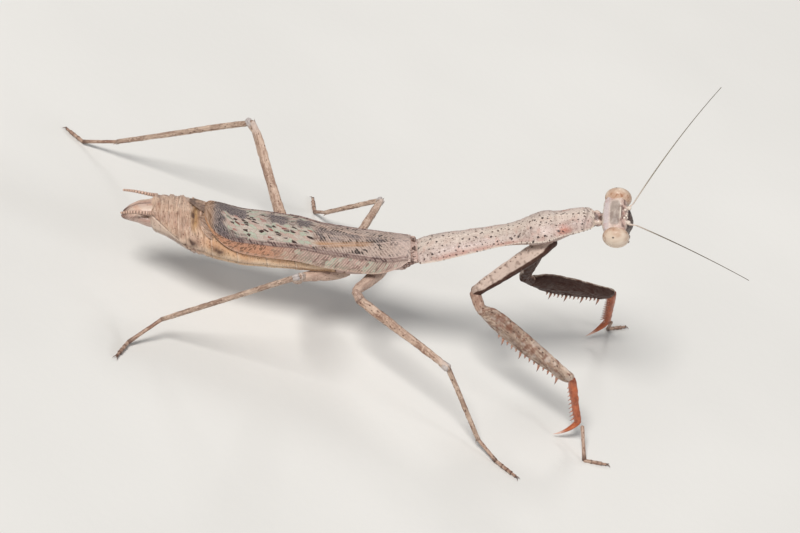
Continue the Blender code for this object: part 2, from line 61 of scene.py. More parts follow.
# Trunk: distance forward, half width, height or depth
PRONOTUM = ((-0.45, 1.90, 1.05), (0.3, 1.98, 1.15), (1.5, 2.05, 1.30), (5.4, 1.83, 1.18),
            (9.0, 1.62, 1.05), (11.0, 1.72, 1.12), (12.4, 2.12, 1.38), (13.7, 2.33, 1.50),
            (15.3, 1.95, 1.35), (18.0, 1.68, 1.20), (18.8, 1.50, 1.05), (19.3, 1.30, 0.90))
PRONOTUM_RIM = 0.2
SULCUS_AT = 14.7
PROSTERNUM = ((0.7, 1.20, 0.70), (5.0, 1.15, 0.75), (10.0, 1.20, 0.80), (12.4, 1.60, 1.30),
              (14.4, 1.65, 1.40), (15.8, 1.35, 1.10), (17.0, 1.10, 0.95), (18.8, 0.75, 0.60))
# Distance back, half width, middle, height above it, depth below it
PTEROTHORAX = ((-1.6, 1.30, -0.25, 0.75, 0.70), (-0.85, 1.55, -0.25, 0.90, 0.80),
               (-0.2, 1.75, -0.25, 0.98, 0.95), (0.18, 1.80, -0.35, 0.98, 1.05),
               (0.3, 1.60, -0.60, 0.72, 1.10), (2.0, 1.90, -0.90, 1.00, 1.20),
               (4.0, 2.00, -0.90, 1.20, 1.70), (6.5, 2.20, -0.80, 1.50, 1.80),
               (8.0, 2.30, -0.60, 1.65, 1.80))
ABDOMEN = ((8.1, 2.35, -0.50, 1.80, 1.85), (11.9, 3.00, 0.30, 2.02, 1.60),
           (15.1, 3.12, 0.90, 2.07, 1.95), (18.3, 3.22, 1.50, 2.07, 2.15),
           (21.0, 3.30, 2.60, 1.95, 2.45), (22.0, 3.32, 3.10, 1.80, 2.60),
           (23.6, 3.20, 3.90, 2.00, 2.65), (25.8, 2.50, 4.80, 1.95, 2.00),
           (27.6, 1.95, 5.25, 1.60, 1.65))
ABDOMEN_SEAMS = (8.1, 12.4, 15.4, 18.5, 21.2, 23.6, 25.8, 27.6)
RING_EDGES = (8.1, 12.4, 15.4, 18.5, 21.2, 23.4, 24.6, 25.6, 26.4, 27.1, 28.0)
# Front edge of the last plate below: angle up from the side, distance back
LAST_PLATE_EDGE = ((-90.0, 22.4), (-50.0, 22.8), (-15.0, 24.0), (5.0, 25.6), (33.0, 27.0),
                   (60.0, 28.5), (90.0, 30.0))
SUBGENITAL = ((27.0, 1.60, 5.10, 0.60, 1.50), (27.75, 1.50, 5.15, 0.60, 1.45),
              (29.0, 1.20, 5.30, 0.55, 1.05), (30.1, 0.70, 5.10, 0.35, 0.70),
              (30.75, 0.25, 4.80, 0.15, 0.22))
OVIPOSITOR = ((27.0, 1.30, 5.90, 0.78, 0.70), (27.75, 1.22, 5.90, 0.70, 0.70),
              (29.0, 0.92, 5.90, 0.52, 0.60), (30.1, 0.50, 5.45, 0.42, 0.30),
              (30.65, 0.20, 5.10, 0.26, 0.12))
CERCUS = ((-26.9, 1.55, 6.30), (-27.75, 1.55, 6.45), (-29.3, 1.72, 6.72), (-30.6, 1.90, 6.76))

# Folded wings: distance back, half width, level of the edges, height of the arch
WING_ARCH = ((0.3, 2.05, 0.15, 0.75), (1.2, 2.46, -0.27, 1.35), (3.3, 3.12, -0.58, 1.75),
             (6.5, 3.32, -0.16, 1.83), (9.7, 3.30, 0.55, 1.83), (11.9, 3.32, 1.26, 1.83),
             (15.1, 3.39, 1.88, 1.88), (18.3, 3.29, 2.50, 1.90), (20.5, 3.20, 3.30, 1.92),
             (21.9, 3.10, 3.80, 1.90))
TEGMEN_START = 0.35
TEGMEN_END = 21.9
TEGMEN_TAPER = 4.4
HINDWING_END = {"left": 23.5, "right": 22.45}

# Head rows from the mouth up: level, half width, front, back
HEAD = ((-2.9, 0.75, 0.95, 0.45), (-2.2, 1.05, 1.25, 0.70), (-1.2, 1.70, 1.45, 1.15),
        (0.0, 2.30, 1.16, 1.46), (0.8, 2.25, 0.95, 1.42), (1.25, 1.80, 0.62, 1.10),
        (1.45, 1.10, 0.35, 0.65))
LABRUM = ((-4.1, 0.40, 0.45, 0.10), (-3.8, 0.55, 0.62, 0.15), (-3.0, 0.68, 0.85, 0.25))
EYE_AT = (-0.03, 2.3, 0.0)
EYE_SIZE = (1.42, 1.00, 1.60)
ANTENNA_ROOT = (1.42, 0.9, 0.3)
HEAD_BEADS = ((-0.84, 0.42, 0.25), (0.84, 0.42, 0.25), (-0.5, 0.85, 0.15), (0.5, 0.85, 0.15),
              (0.0, 0.62, 0.15), (-0.22, 0.35, 0.12), (0.24, 0.4, 0.12))
PALP = ((0.0, 1.05, -2.95), (0.30, 1.15, -3.5), (0.50, 0.90, -4.2))
ANTENNAE = {
    "left": ((0.25, 0.20, 0.42), (9.35, 8.25, 9.23), (-0.1, 0.2, 0.35)),
    "right": ((0.70, -0.40, 0.10), (11.1, -8.9, 0.10), (0.0, 0.1, 0.15)),
}

# Legs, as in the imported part. Their lengths and headings were not chosen by hand: they started as
# the rounded output of scratch programs, and some were changed by hand afterwards.
LENGTHS = {
    "fore": {"coxa": 9.7, "trochanter": 1.9, "femur": 12.4, "tibia": 6.4, "basitarsus": 3.9,
             "toes": 3.35},
    "mid": {"coxa": 4.4, "trochanter": 1.2, "femur": 11.9, "tibia": 9.6, "basitarsus": 3.0,
            "toes": 3.4},
    "hind": {"coxa": 4.6, "trochanter": 1.2, "femur": 14.9, "tibia": 18.6, "basitarsus": 4.3,
             "toes": 3.4},
}
# Where each leg starts in the body frame, then the heading of each joint in degrees: azimuth from
# +X towards +Y, and elevation. A tibia and a basitarsus have the height of their far end instead,
# and the toes lie on the floor.
POSES = {
    "fore_right": {"at": (14.15, -1.0, 1.25), "coxa": (171.5, -61.4), "trochanter": (-45.0, -37.2),
                   "femur": (-22.5, -9.5), "tibia": (7.2, 2.60), "basitarsus": (-61.0, 0.33),
                   "toes": 4.0},
    "fore_left": {"at": (14.3, 1.3, 1.0), "coxa": (73.5, -62.4), "trochanter": (44.1, -31.2),
                  "femur": (26.5, -8.8), "tibia": (54.4, 2.90), "basitarsus": (62.6, 0.35),
                  "toes": 34.0},
    "mid_right": {"at": (-3.2, -1.1, -2.0), "coxa": (-125.4, -15.4), "trochanter": (-44.7, -21.0),
                  "femur": (-32.3, -2.9), "tibia": (-7.4, 1.36), "basitarsus": (-31.2, 0.36),
                  "toes": -34.0},
    "mid_left": {"at": (-2.9, 1.3, -2.0), "coxa": (158.0, -38.0), "trochanter": (95.4, -3.8),
                 "femur": (72.0, 3.9), "tibia": (129.9, 2.15), "basitarsus": (108.2, 0.34),
                 "toes": 95.3},
    "hind_right": {"at": (-7.4, -1.3, -2.0), "coxa": (-155.7, -10.8),
                   "trochanter": (-120.0, 12.0), "femur": (-101.4, 35.3),
                   "tibia": (151.6, 3.1), "basitarsus": (-143.7, 0.45), "toes": -110.5},
    "hind_left": {"at": (-7.4, 1.4, -2.0), "coxa": (169.8, -19.6), "trochanter": (160.0, -10.0),
                  "femur": (122.3, 27.5), "tibia": (150.5, 2.59), "basitarsus": (158.7, 0.40),
                  "toes": 138.8},
}
TOE_LEVEL = 0.24
FORE_HIP_RISE = 1.3
CLAW_LENGTH = 3.05
CLAW_HEADINGS = {"fore_right": (-169.0, -44.5), "fore_left": (207.4, -45.0)}

# Spines and beads
COXA_DENTICLES = 11           # along each of three edges
FEMUR_SPINES = 14             # in each of two rows
FEMUR_DENTICLES = 16
TIBIA_SPINES = ((1, 13), (-1, 9))
HAIR_SPACING = 0.8
HINDWING_PLEATS = 9
CERCUS_BEADS = 15
PALP_BEADS = 4
ANTENNA_BEADS = 70

# Limb outlines: share of the length, half thickness, outer depth, inner depth
COXA_FORE = ((0.0, 0.55, 0.60, 0.60), (0.15, 0.82, 0.95, 0.95), (0.55, 0.80, 0.92, 0.92),
             (0.93, 0.62, 0.68, 0.68), (1.0, 0.58, 0.62, 0.62))
TROCHANTER_FORE = ((0.0, 0.58, 0.62, 0.62), (1.0, 0.55, 0.68, 0.50))
FEMUR_FORE = ((0.0, 0.55, 0.70, 0.48), (0.1, 0.60, 1.30, 0.85), (0.2, 0.66, 1.45, 1.20),
              (0.35, 0.68, 1.38, 1.42), (0.6, 0.60, 1.10, 1.42), (0.83, 0.50, 0.76, 1.22),
              (0.95, 0.46, 0.62, 1.15), (1.0, 0.42, 0.50, 0.70))
TIBIA_FORE = ((0.0, 0.34, 0.42, 0.42), (0.12, 0.38, 0.48, 0.48), (0.6, 0.34, 0.44, 0.44),
              (1.0, 0.30, 0.40, 0.40))
COXA = ((0.0, 0.50, 0.50, 0.50), (0.3, 0.68, 0.68, 0.68), (0.8, 0.55, 0.55, 0.55),
        (1.0, 0.48, 0.48, 0.48))
TROCHANTER = ((0.0, 0.46, 0.48, 0.48), (1.0, 0.50, 0.56, 0.56))
FEMUR_MID = ((0.0, 0.46, 0.54, 0.54), (0.1, 0.48, 0.62, 0.62), (0.5, 0.42, 0.55, 0.55),
             (0.88, 0.36, 0.48, 0.48), (1.0, 0.32, 0.30, 0.40))
FEMUR_HIND = ((0.0, 0.48, 0.56, 0.56), (0.08, 0.50, 0.64, 0.64), (0.5, 0.40, 0.54, 0.54),
              (0.93, 0.33, 0.45, 0.45), (1.0, 0.32, 0.26, 0.40))
TIBIA = ((0.0, 0.29, 0.24, 0.36), (0.1, 0.28, 0.32, 0.32), (0.6, 0.27, 0.29, 0.29),
         (1.0, 0.25, 0.26, 0.26))

# Camera: where it looks from and which way is right, in the part's frame, both as printed by the
# program that fitted the legs
TO_CAMERA = (-0.2022, -0.8176, 0.5391)
CAMERA_RIGHT = (0.9363, 0.0, 0.3511)
AIM_SHIFT = (-1.18, -1.76)    # right and up from the wing bases
CAMERA_DISTANCE = 333.0
LENS = 140.0
SOFTNESS = 0.3                # how wide each light looks, in radians
# Lights: the side each shines from, its strength and its colour
LIGHTS = {
    "key": ((-130.0, -160.0, 245.0), 2.8, (1.0, 0.98, 0.95)),
    "fill": ((260.0, -140.0, 145.0), 0.6, (0.95, 0.97, 1.0)),
    "back": ((0.0, 260.0, 205.0), 0.5, (1.0, 1.0, 1.0)),
}
SKY_COLOUR = (0.9, 0.92, 0.95, 1.0)
SKY_STRENGTH = 0.2
FLOOR_REACH = 3.0             # in metres


# ---------------------------------------------------------------- geometry

def unit(vector):
    """The direction of a vector."""
    vector = np.asarray(vector, float)
    return vector / np.linalg.norm(vector)


def heading(azimuth, elevation):
    """The direction with this azimuth and elevation, in degrees."""
    a, e = math.radians(azimuth), math.radians(elevation)
    return np.array((math.cos(e) * math.cos(a), math.cos(e) * math.sin(a), math.sin(e)))


def smooth(rows, at):
    """Read a table of rows (key, values...) at many keys, on a smooth curve through the rows."""
    table = np.array(rows, float)
    keys, values = table[:, 0], table[:, 1:]
    slopes = np.gradient(values, keys, axis=0)
    at = np.clip(np.asarray(at, float), keys[0], keys[-1])
    i = np.clip(np.searchsorted(keys, at) - 1, 0, len(keys) - 2)
    span = (keys[i + 1] - keys[i])[..., None]
    t = (at - keys[i])[..., None] / span
    near = (1 + 2 * t) * (1 - t) ** 2 * values[i] + t * (1 - t) ** 2 * span * slopes[i]
    far = t * t * (3 - 2 * t) * values[i + 1] - t * t * (1 - t) * span * slopes[i + 1]
    return near + far


def placed(points, matrix):
    """Points of a frame, as points of the part."""
    turn = np.array(matrix.to_3x3())
    return np.asarray(points, float) @ turn.T + np.array(matrix.to_translation())


def turned(vector, matrix):
    """A direction of a frame, as a direction of the part."""
    return np.array(matrix.to_3x3()) @ np.asarray(vector, float)


BODY = Matrix.Translation(BODY_AT) @ (
    Matrix.Rotation(math.radians(-BODY_PITCH), 4, "Y")
    @ Matrix.Rotation(math.radians(BODY_ROLL), 4, "X"))
PROTHORAX = BODY @ Matrix.Translation(PROTHORAX_AT) @ Matrix.Rotation(
    math.radians(-PROTHORAX_PITCH), 4, "Y")
SKULL = BODY @ Matrix.Translation(HEAD_AT) @ (
    Matrix.Rotation(math.radians(HEAD_YAW), 4, "Z")
    @ Matrix.Rotation(math.radians(HEAD_ROLL), 4, "X")
    @ Matrix.Rotation(math.radians(-HEAD_PITCH), 4, "Y"))


def lattice(cell, seed):
    """A repeatable value from 0 to 1 for each cell of a lattice."""
    mixed = seed * 374761393 + cell[..., 0] * 668265263
    mixed = mixed ^ (cell[..., 1] * 2246822519) ^ (cell[..., 2] * 3266489917)
    mixed = (mixed ^ (mixed >> 13)) * 1274126177
    return ((mixed ^ (mixed >> 16)) & 0xFFFF) / 65535.0


def noise(points, size, seed=0):
    """Smooth noise from -1 to 1, with lumps of about this size."""
    scaled = np.asarray(points, float) / size
    cell = np.floor(scaled).astype(np.int64)
    part = scaled - cell
    part = part * part * (3 - 2 * part)
    total = 0.0
    for corner in range(8):
        step = np.array((corner & 1, corner >> 1 & 1, corner >> 2 & 1))
        weight = np.prod(np.where(step, part, 1 - part), axis=-1)
        total = total + weight * lattice(cell + step, seed)
    return 2 * total - 1


def bell(distance, width):
    """A smooth hump, 1 at no distance."""
    return np.exp(-(np.asarray(distance) / width) ** 2)


def rise(value, low, high):
    """A smooth step from 0 at low to 1 at high."""
    t = np.clip((np.asarray(value) - low) / (high - low), 0, 1)
    return t * t * (3 - 2 * t)


def around(sides):
    """Angles round a closed section."""
    return 2 * math.pi * (np.arange(sides) + 0.5) / sides


def spread(column, columns):
    """A value for each ring, repeated round the ring."""
    return np.repeat(column[:, None], columns, 1)


def ball_grid(rings, sides):
    """Rings of a ball of radius 1, from its bottom to its top."""
    tall, turn = np.linspace(-math.pi / 2, math.pi / 2, rings), around(sides)
    return np.stack((np.cos(tall)[:, None] * np.cos(turn), np.cos(tall)[:, None] * np.sin(turn),
                     spread(np.sin(tall), sides)), axis=-1)


def beaded(share, count, power):
    """How far each point along a string of beads swells, from 0 to 1."""
    return np.abs(np.sin(share * math.pi * count)) ** power


def normals(grid, closed=True):
    """The outward direction at each point of a grid."""
    along = np.gradient(grid, axis=0)
    if closed:
        across = np.roll(grid, -1, 1) - np.roll(grid, 1, 1)
    else:
        across = np.gradient(grid, axis=1)
    normal = np.cross(across, along)
    normal /= np.maximum(np.linalg.norm(normal, axis=2, keepdims=True), 1e-9)
    if ((grid - grid.mean(axis=1, keepdims=True)) * normal).sum() < 0:
        normal = -normal
    return normal


def push(grid, amount, closed=True):
    """Move the points of a grid outwards by an amount each."""
    return grid + np.asarray(amount)[..., None] * normals(grid, closed)


def facing(grid, direction, low=0.0, high=0.4):
    """Which points of a grid face a direction, from 0 to 1."""
    return rise(normals(grid) @ unit(direction), low, high)


def girth(grid):
    """How far each point of a grid lies from its row's first point, along the row."""
    steps = np.linalg.norm(np.diff(grid, axis=1), axis=2)
    return np.hstack((np.zeros((len(grid), 1)), np.cumsum(steps, axis=1)))


class Skin:
    """Grids of points gathered into one mesh, with a flow and a tint at each point.

    The flow runs along and around the surface, in mm, for the patterns to
    follow. The tint holds three masks: pale, dark and warm. The field holds
    three more, for a material with regions of its own.
    """

    def __init__(self):
        self.points = []
        self.faces = []
        self.flow = []
        self.tint = []
        self.field = []
        self.count = 0

    def add(self, grid, closed=True, caps=(True, True), flow=None, tint=(0.0, 0.0, 0.0),
            field=(0.0, 0.0, 0.0)):
        """Add a grid of points, with a fan over each end that is to be capped."""
        rows, columns = grid.shape[:2]
        if flow is None:
            steps = np.linalg.norm(np.diff(grid.mean(axis=1), axis=0), axis=1)
            along = np.concatenate(([0.0], np.cumsum(steps)))
            flow = np.stack((spread(along, columns), girth(grid),
                             np.full((rows, columns), float(self.count % 97))), axis=-1)
        tint, field = (np.stack([np.broadcast_to(np.asarray(mask, float), (rows, columns))
                                 for mask in masks], axis=-1) for masks in (tint, field))
        index = self.count + np.arange(rows * columns).reshape(rows, columns)
        over = np.roll(index, -1, 1) if closed else index[:, 1:]
        near = index if closed else index[:, :-1]
        quads = np.stack((near[:-1], over[:-1], over[1:], near[1:]), axis=-1)
        self.faces += quads.reshape(-1, 4).tolist()
        layers = ((self.points, grid), (self.flow, flow), (self.tint, tint), (self.field, field))
        for gathered, values in layers:
            gathered.append(values.reshape(-1, 3))
        self.count += rows * columns
        for wanted, row in zip(caps, (0, rows - 1)):
            if wanted and closed:
                for gathered, values in layers:
                    gathered.append(values[row].mean(axis=0)[None])
                ring = index[row].tolist()
                self.faces += [[a, b, self.count] for a, b in zip(ring, ring[1:] + ring[:1])]
                self.count += 1

    def piece(self, name, material, stands_for):
        """Make the object, which rides on the model's one body."""
        mesh = bpy.data.meshes.new(name)
        mesh.from_pydata((np.concatenate(self.points) * MM).tolist(), [], self.faces)
        for label, values in (("flow", self.flow), ("tint", self.tint), ("field", self.field)):
            layer = mesh.attributes.new(label, "FLOAT_VECTOR", "POINT")
            layer.data.foreach_set("vector", np.concatenate(values).astype(np.float32).ravel())
        mesh.shade_smooth()
        mesh.materials.append(material)
        made = bpy.data.objects.new(name, mesh)
        bpy.context.scene.collection.objects.link(made)
        outward(made)
        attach(made, "root")
        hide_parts(*stands_for)
        return made


def outward(made):
    """Turn a piece's faces out."""
    bpy.context.view_layer.objects.active = made
    bpy.ops.object.select_all(action="DESELECT")
    made.select_set(True)
    bpy.ops.object.mode_set(mode="EDIT")
    bpy.ops.mesh.select_all(action="SELECT")
    bpy.ops.mesh.normals_make_consistent(inside=False)
    bpy.ops.object.mode_set(mode="OBJECT")


def section(half, up, down, turn, power=1.0):
    """Rings of (across, out) points from columns of half width, height and depth."""
    out = np.sin(turn)
    swell = np.sign(out) * np.abs(out) ** power
    tall = np.where(out > 0, np.asarray(up)[:, None], np.asarray(down)[:, None])
    return np.asarray(half)[:, None] * np.cos(turn), tall * swell


def tube(path, sizes, up, sides=24):
    """Rings round a path, from rows of half thickness, outer depth and inner depth."""
    path, sizes = np.asarray(path, float), np.asarray(sizes, float)
    along = np.gradient(path, axis=0)
    along /= np.linalg.norm(along, axis=1, keepdims=True)
    side = np.cross(np.asarray(up, float), along)
    side /= np.linalg.norm(side, axis=1, keepdims=True)
    out = np.cross(along, side)
    across, deep = section(sizes[:, 0], sizes[:, 1], sizes[:, -1], around(sides))
    return (path[:, None] + across[..., None] * side[:, None] + deep[..., None] * out[:, None])


def round_tube(path, thick, up, sides):
    """Round rings along a path, of this radius at each."""
    return tube(path, np.stack((thick, thick), 1), up, sides)


def ended(share, length, start, end):
    """How full a limb is along its length, with round ends of these radii."""
    full = np.ones_like(share)
    if start:
        full *= np.sqrt(np.clip(1 - (1 - share * length / start).clip(0) ** 2, 1e-4, 1))
    if end:
        full *= np.sqrt(np.clip(1 - (1 - (1 - share) * length / end).clip(0) ** 2, 1e-4, 1))
    return full


def capped(at, start, end):
    """How full a body is at each of its rings, with round ends of these radii."""
    return ended((at - at[0]) / np.ptp(at), np.ptp(at), start, end)


def trunk(rows, back, turn, start, end):
    """Rings of the body behind the neck, and how full each one is, with round ends."""
    half, middle, up, down = smooth(rows, back).T
    full = capped(back, start, end)
    across, out = section(half * full, up * full, down * full, turn)
    return np.stack((-spread(back, len(turn)), across, middle[:, None] + out), axis=-1), full


def limb_axes(start, end, bend):
    """The directions along a joint of a limb, to its side and out of its bend."""
    along = unit(end - start)
    side = unit(np.cross(bend, along))
    return along, side, np.cross(along, side)


def limb(start, end, rows, bend, past=(0.0, 0.0), rounded=(0.4, 0.4), rings=90, sides=32):
    """A straight joint of a limb: its rings, and the share of its length at each ring.

    It runs past its two joints a little, with rounded ends.
    """
    start, end = np.asarray(start, float), np.asarray(end, float)
    length = np.linalg.norm(end - start)
    share = np.linspace(-past[0] / length, 1 + past[1] / length, rings)
    full = ended((share - share[0]) / (share[-1] - share[0]), length + sum(past), *rounded)
    sizes = smooth(rows, share) * full[:, None]
    path = start + (end - start) * share[:, None]
    return tube(path, sizes, bend, sides), share


def spike(base, point, radius, curve=(0.0, 0.0, 0.0), rings=9, sides=8):
    """A curved spine from its base to its point."""
    base, point = np.asarray(base, float), np.asarray(point, float)
    t = np.linspace(0, 1, rings)[:, None]
    path = base + (point - base) * t + np.asarray(curve, float) * 4 * t * (1 - t)
    thick = radius * np.maximum(1 - t ** 1.3, 0.06)
    up = np.cross(point - base, (0.31, 0.57, 0.76))
    return round_tube(path, thick[:, 0], up, sides)


# ---------------------------------------------------------------- materials

def colour(red, green, blue):
    """A colour given on the usual 0 to 255 scale."""
    linear = [(c / 255 / 12.92) if c <= 10 else ((c / 255 + 0.055) / 1.055) ** 2.4
              for c in (red, green, blue)]
    return (*linear, 1.0)


class Paint:
    """A procedural material, built a step at a time in millimetres of the surface."""

    def __init__(self, name, **sockets):
        self.material = bpy.data.materials.new(name)
        self.material.use_nodes = True
        self.tree = self.material.node_tree
        self.shader = self.tree.nodes["Principled BSDF"]
        for label, value in sockets.items():
            self.shader.inputs[label.replace("_", " ")].default_value = value
        place = self.node("TexCoord")
        self.here = self.node("VectorMath", {0: place.outputs["Object"], "Scale": 1 / MM},
                              operation="SCALE").outputs[0]
        self.flow = self.node("Attribute", attribute_name="flow").outputs["Vector"]
        masks = self.node("Attribute", attribute_name="tint").outputs["Vector"]
        parts = self.node("SeparateXYZ", {0: masks})
        self.pale, self.dark, self.warm = parts.outputs
        masks = self.node("Attribute", attribute_name="field").outputs["Vector"]
        self.fields = self.node("SeparateXYZ", {0: masks}).outputs

    def node(self, kind, inputs=None, **settings):
        """Add a node with its settings, and link or set its inputs."""
        made = self.tree.nodes.new("ShaderNode" + kind)
        for key, value in settings.items():
            setattr(made, key, value)
        for key, value in (inputs or {}).items():
            if isinstance(value, bpy.types.NodeSocket):
                self.tree.links.new(value, made.inputs[key])
            else:
                made.inputs[key].default_value = value
        return made

    def stretched(self, source, stretch):
        """A place scaled differently along each axis."""
        return self.node("VectorMath", {0: source, 1: stretch}, operation="MULTIPLY").outputs[0]

    def clouds(self, size, detail=3.0, source=None, stretch=None, seed=0.0):
        """Soft noise with lumps of about this size."""
        source = source or self.here
        if stretch:
            source = self.stretched(source, stretch)
        if seed:
            source = self.node("VectorMath", {0: source, 1: (seed, seed, seed)}).outputs[0]
        return self.node("TexNoise", {"Vector": source, "Scale": 1 / size, "Detail": detail,
                                      "Roughness": 0.55}).outputs["Fac"]

    def cells(self, size, source=None, stretch=(1.0, 1.0, 1.0), random=1.0):
        """Cells of about this size over the surface: two values for each, and its distance in."""
        source = self.stretched(source or self.flow, stretch)
        place = {"Vector": source, "Scale": 1 / size, "Randomness": random}
        made = self.node("TexVoronoi", place, voronoi_dimensions="2D")
        edge = self.node("TexVoronoi", place, voronoi_dimensions="2D",
                         feature="DISTANCE_TO_EDGE")
        chance = self.node("SeparateColor", {0: made.outputs["Color"]}).outputs
        return chance[0], chance[1], edge.outputs["Distance"]

    def spots(self, size, radius, share, stretch=(1.0, 1.0, 1.0)):
        """Round spots of mixed sizes, in a share of the cells of this size."""
        source = self.stretched(self.flow, stretch)
        made = self.node("TexVoronoi", {"Vector": source, "Scale": 1 / size},
                         voronoi_dimensions="2D")
        chance = self.node("SeparateColor", {0: made.outputs["Color"]}).outputs
        reach = self.sum("MULTIPLY_ADD", chance[0], radius / size, 0.4 * radius / size)
        inside = self.sum("SUBTRACT", reach, made.outputs["Distance"])
        chosen = self.sum("LESS_THAN", chance[1], share)
        return self.sum("MULTIPLY", self.step(inside, 0.0, 0.25 * radius / size), chosen)

    def wavy(self, source, size, reach):
        """A place pushed about by soft noise, so that a regular pattern looks grown."""
        drift = self.node("TexNoise", {"Vector": source, "Scale": 1 / size, "Detail": 2.0})
        centred = self.node("VectorMath", {0: drift.outputs["Color"], 1: (0.5, 0.5, 0.5)},
                            operation="SUBTRACT").outputs[0]
        pushed = self.node("VectorMath", {0: centred, "Scale": reach}, operation="SCALE")
        return self.node("VectorMath", {0: source, 1: pushed.outputs[0]}).outputs[0]

    def step(self, value, low, high):
        """Map a value from low..high to 0..1, cut off at both ends."""
        return self.node("MapRange", {0: value, 1: low, 2: high, 3: 0.0, 4: 1.0},
                         interpolation_type="SMOOTHSTEP").outputs[0]

    def sum(self, operation, a, b=0.0, c=0.0):
        """One step of arithmetic."""
        return self.node("Math", {0: a, 1: b, 2: c}, operation=operation).outputs[0]

    def cover(self, share, strength, base, over):
        """Lay a colour over another where a mask says, at most this strongly."""
        return self.mix(self.sum("MULTIPLY", share, strength), base, over)

    def mix(self, share, a, b):
        """Two colours mixed."""
        return self.node("Mix", {0: share, 6: a, 7: b}, data_type="RGBA").outputs[2]

    def finish(self, base, roughness=None, height=None, depth=0.05):
        """Join the colour, the roughness and the relief to the shader."""
        self.tree.links.new(base, self.shader.inputs["Base Color"])
        if roughness is not None:
            self.tree.links.new(roughness, self.shader.inputs["Roughness"])
        if height is not None:
            bump = self.node("Bump", {"Height": height, "Distance": depth * MM,
                                      "Strength": 1.0})
            self.tree.links.new(bump.outputs[0], self.shader.inputs["Normal"])
        return self.material


def shaded(paint, base, pale, dark, warm):
    """A base colour with the three masks of the tint laid over it."""
    base = paint.mix(paint.pale, base, pale)
    base = paint.mix(paint.warm, base, warm)
    return paint.mix(paint.dark, base, dark)


def cuticle_material(name, dots):
    """Pinkish-white shell with fine grain, and dark dots of mixed sizes where it has them."""
    paint = Paint(name, Roughness=0.42, Specular_IOR_Level=0.5)
    broad = paint.step(paint.clouds(2.6, 4), 0.40, 0.64)
    base = paint.mix(broad, colour(202, 181, 173), colour(172, 150, 143))
    grey = paint.step(paint.clouds(3.4, 3, seed=11.0), 0.48, 0.64)
    base = paint.cover(grey, 0.5, base, colour(162, 148, 136))
    fine = paint.step(paint.clouds(0.3, 3), 0.42, 0.64)
    base = paint.cover(fine, 0.5, base, colour(220, 202, 192))
    pink = paint.step(paint.clouds(0.9, 3, seed=5.0), 0.50, 0.66)
    base = paint.cover(pink, 0.4, base, colour(190, 140, 126))
    base = shaded(paint, base, colour(230, 216, 202), colour(84, 62, 54), colour(184, 112, 92))
    height = paint.clouds(0.14, 3)
    if dots:
        large = paint.spots(0.72, 0.105, 0.42)
        middle = paint.spots(0.47, 0.08, 0.5, (0.8, 1.0, 1.0))
        small = paint.spots(0.27, 0.055, 0.6)
        base = paint.cover(small, 0.7, base, colour(120, 92, 82))
        base = paint.cover(middle, 0.85, base, colour(82, 58, 50))
        base = paint.cover(large, 0.92, base, colour(54, 38, 34))
        height = paint.sum("SUBTRACT", height, paint.sum("MAXIMUM", large, middle))
    rough = paint.step(fine, -1.4, 2.6)
    return paint.finish(base, rough, height, 0.04)


def head_material():
    """Smooth pinkish-white head with a grey crown, a lavender band behind it and polished knobs."""
    paint = Paint("head_shell", Roughness=0.36, Specular_IOR_Level=0.5)
    lavender, crown, glossy = paint.fields
    broad = paint.step(paint.clouds(1.1, 4), 0.40, 0.62)
    base = paint.mix(broad, colour(220, 202, 190), colour(198, 176, 164))
    pink = paint.step(paint.clouds(0.5, 3, seed=5.0), 0.50, 0.66)
    base = paint.cover(pink, 0.45, base, colour(196, 146, 132))
    base = paint.mix(lavender, base, colour(204, 192, 194))
    base = paint.mix(crown, base, paint.mix(broad, colour(176, 162, 152), colour(150, 136, 128)))
    base = shaded(paint, base, colour(236, 228, 214), colour(62, 44, 40), colour(172, 110, 98))
    fleck = paint.step(paint.clouds(0.12, 3), 0.5, 0.66)
    base = paint.cover(fleck, 0.25, base, colour(150, 116, 104))
    rough = paint.sum("MULTIPLY_ADD", glossy, -0.22, 0.42)
    return paint.finish(base, rough, paint.clouds(0.12, 3), 0.03)


def abdomen_material():
    """Cream-tan rings, wrinkled, dotted, with lilac-grey towards the underside."""
    paint = Paint("abdomen", Roughness=0.42, Specular_IOR_Level=0.5)
    ochre, lilac, rear = paint.fields
    broad = paint.step(paint.clouds(2.2, 4), 0.38, 0.64)
    base = paint.mix(broad, colour(220, 186, 150), colour(204, 162, 124))
    tail = paint.mix(broad, colour(210, 178, 156), colour(186, 150, 130))
    base = paint.mix(rear, base, tail)
    streak = paint.step(paint.clouds(0.5, 4, paint.flow, (3.4, 0.6, 1.0)), 0.48, 0.62)
    base = paint.cover(streak, 0.4, base, colour(234, 212, 186))
    fold = paint.step(paint.clouds(0.42, 4, paint.flow, (3.4, 0.7, 1.0), seed=8.0), 0.52, 0.66)
    base = paint.cover(fold, 0.62, base, colour(150, 110, 90))
    base = paint.mix(lilac, base, paint.mix(broad, colour(196, 178, 166), colour(160, 138, 130)))
    base = paint.mix(ochre, base, colour(196, 150, 92))
    dots = paint.spots(0.34, 0.055, 0.55)
    base = paint.cover(dots, 0.75, base, colour(112, 70, 52))
    base = shaded(paint, base, colour(236, 216, 196), colour(74, 46, 38), colour(206, 138, 92))
    height = paint.sum("ADD", paint.clouds(0.3, 4, paint.flow, (3.4, 0.8, 1.0)),
                       paint.sum("MULTIPLY", dots, -0.4))
    return paint.finish(base, paint.step(streak, -1.4, 2.6), height, 0.09)


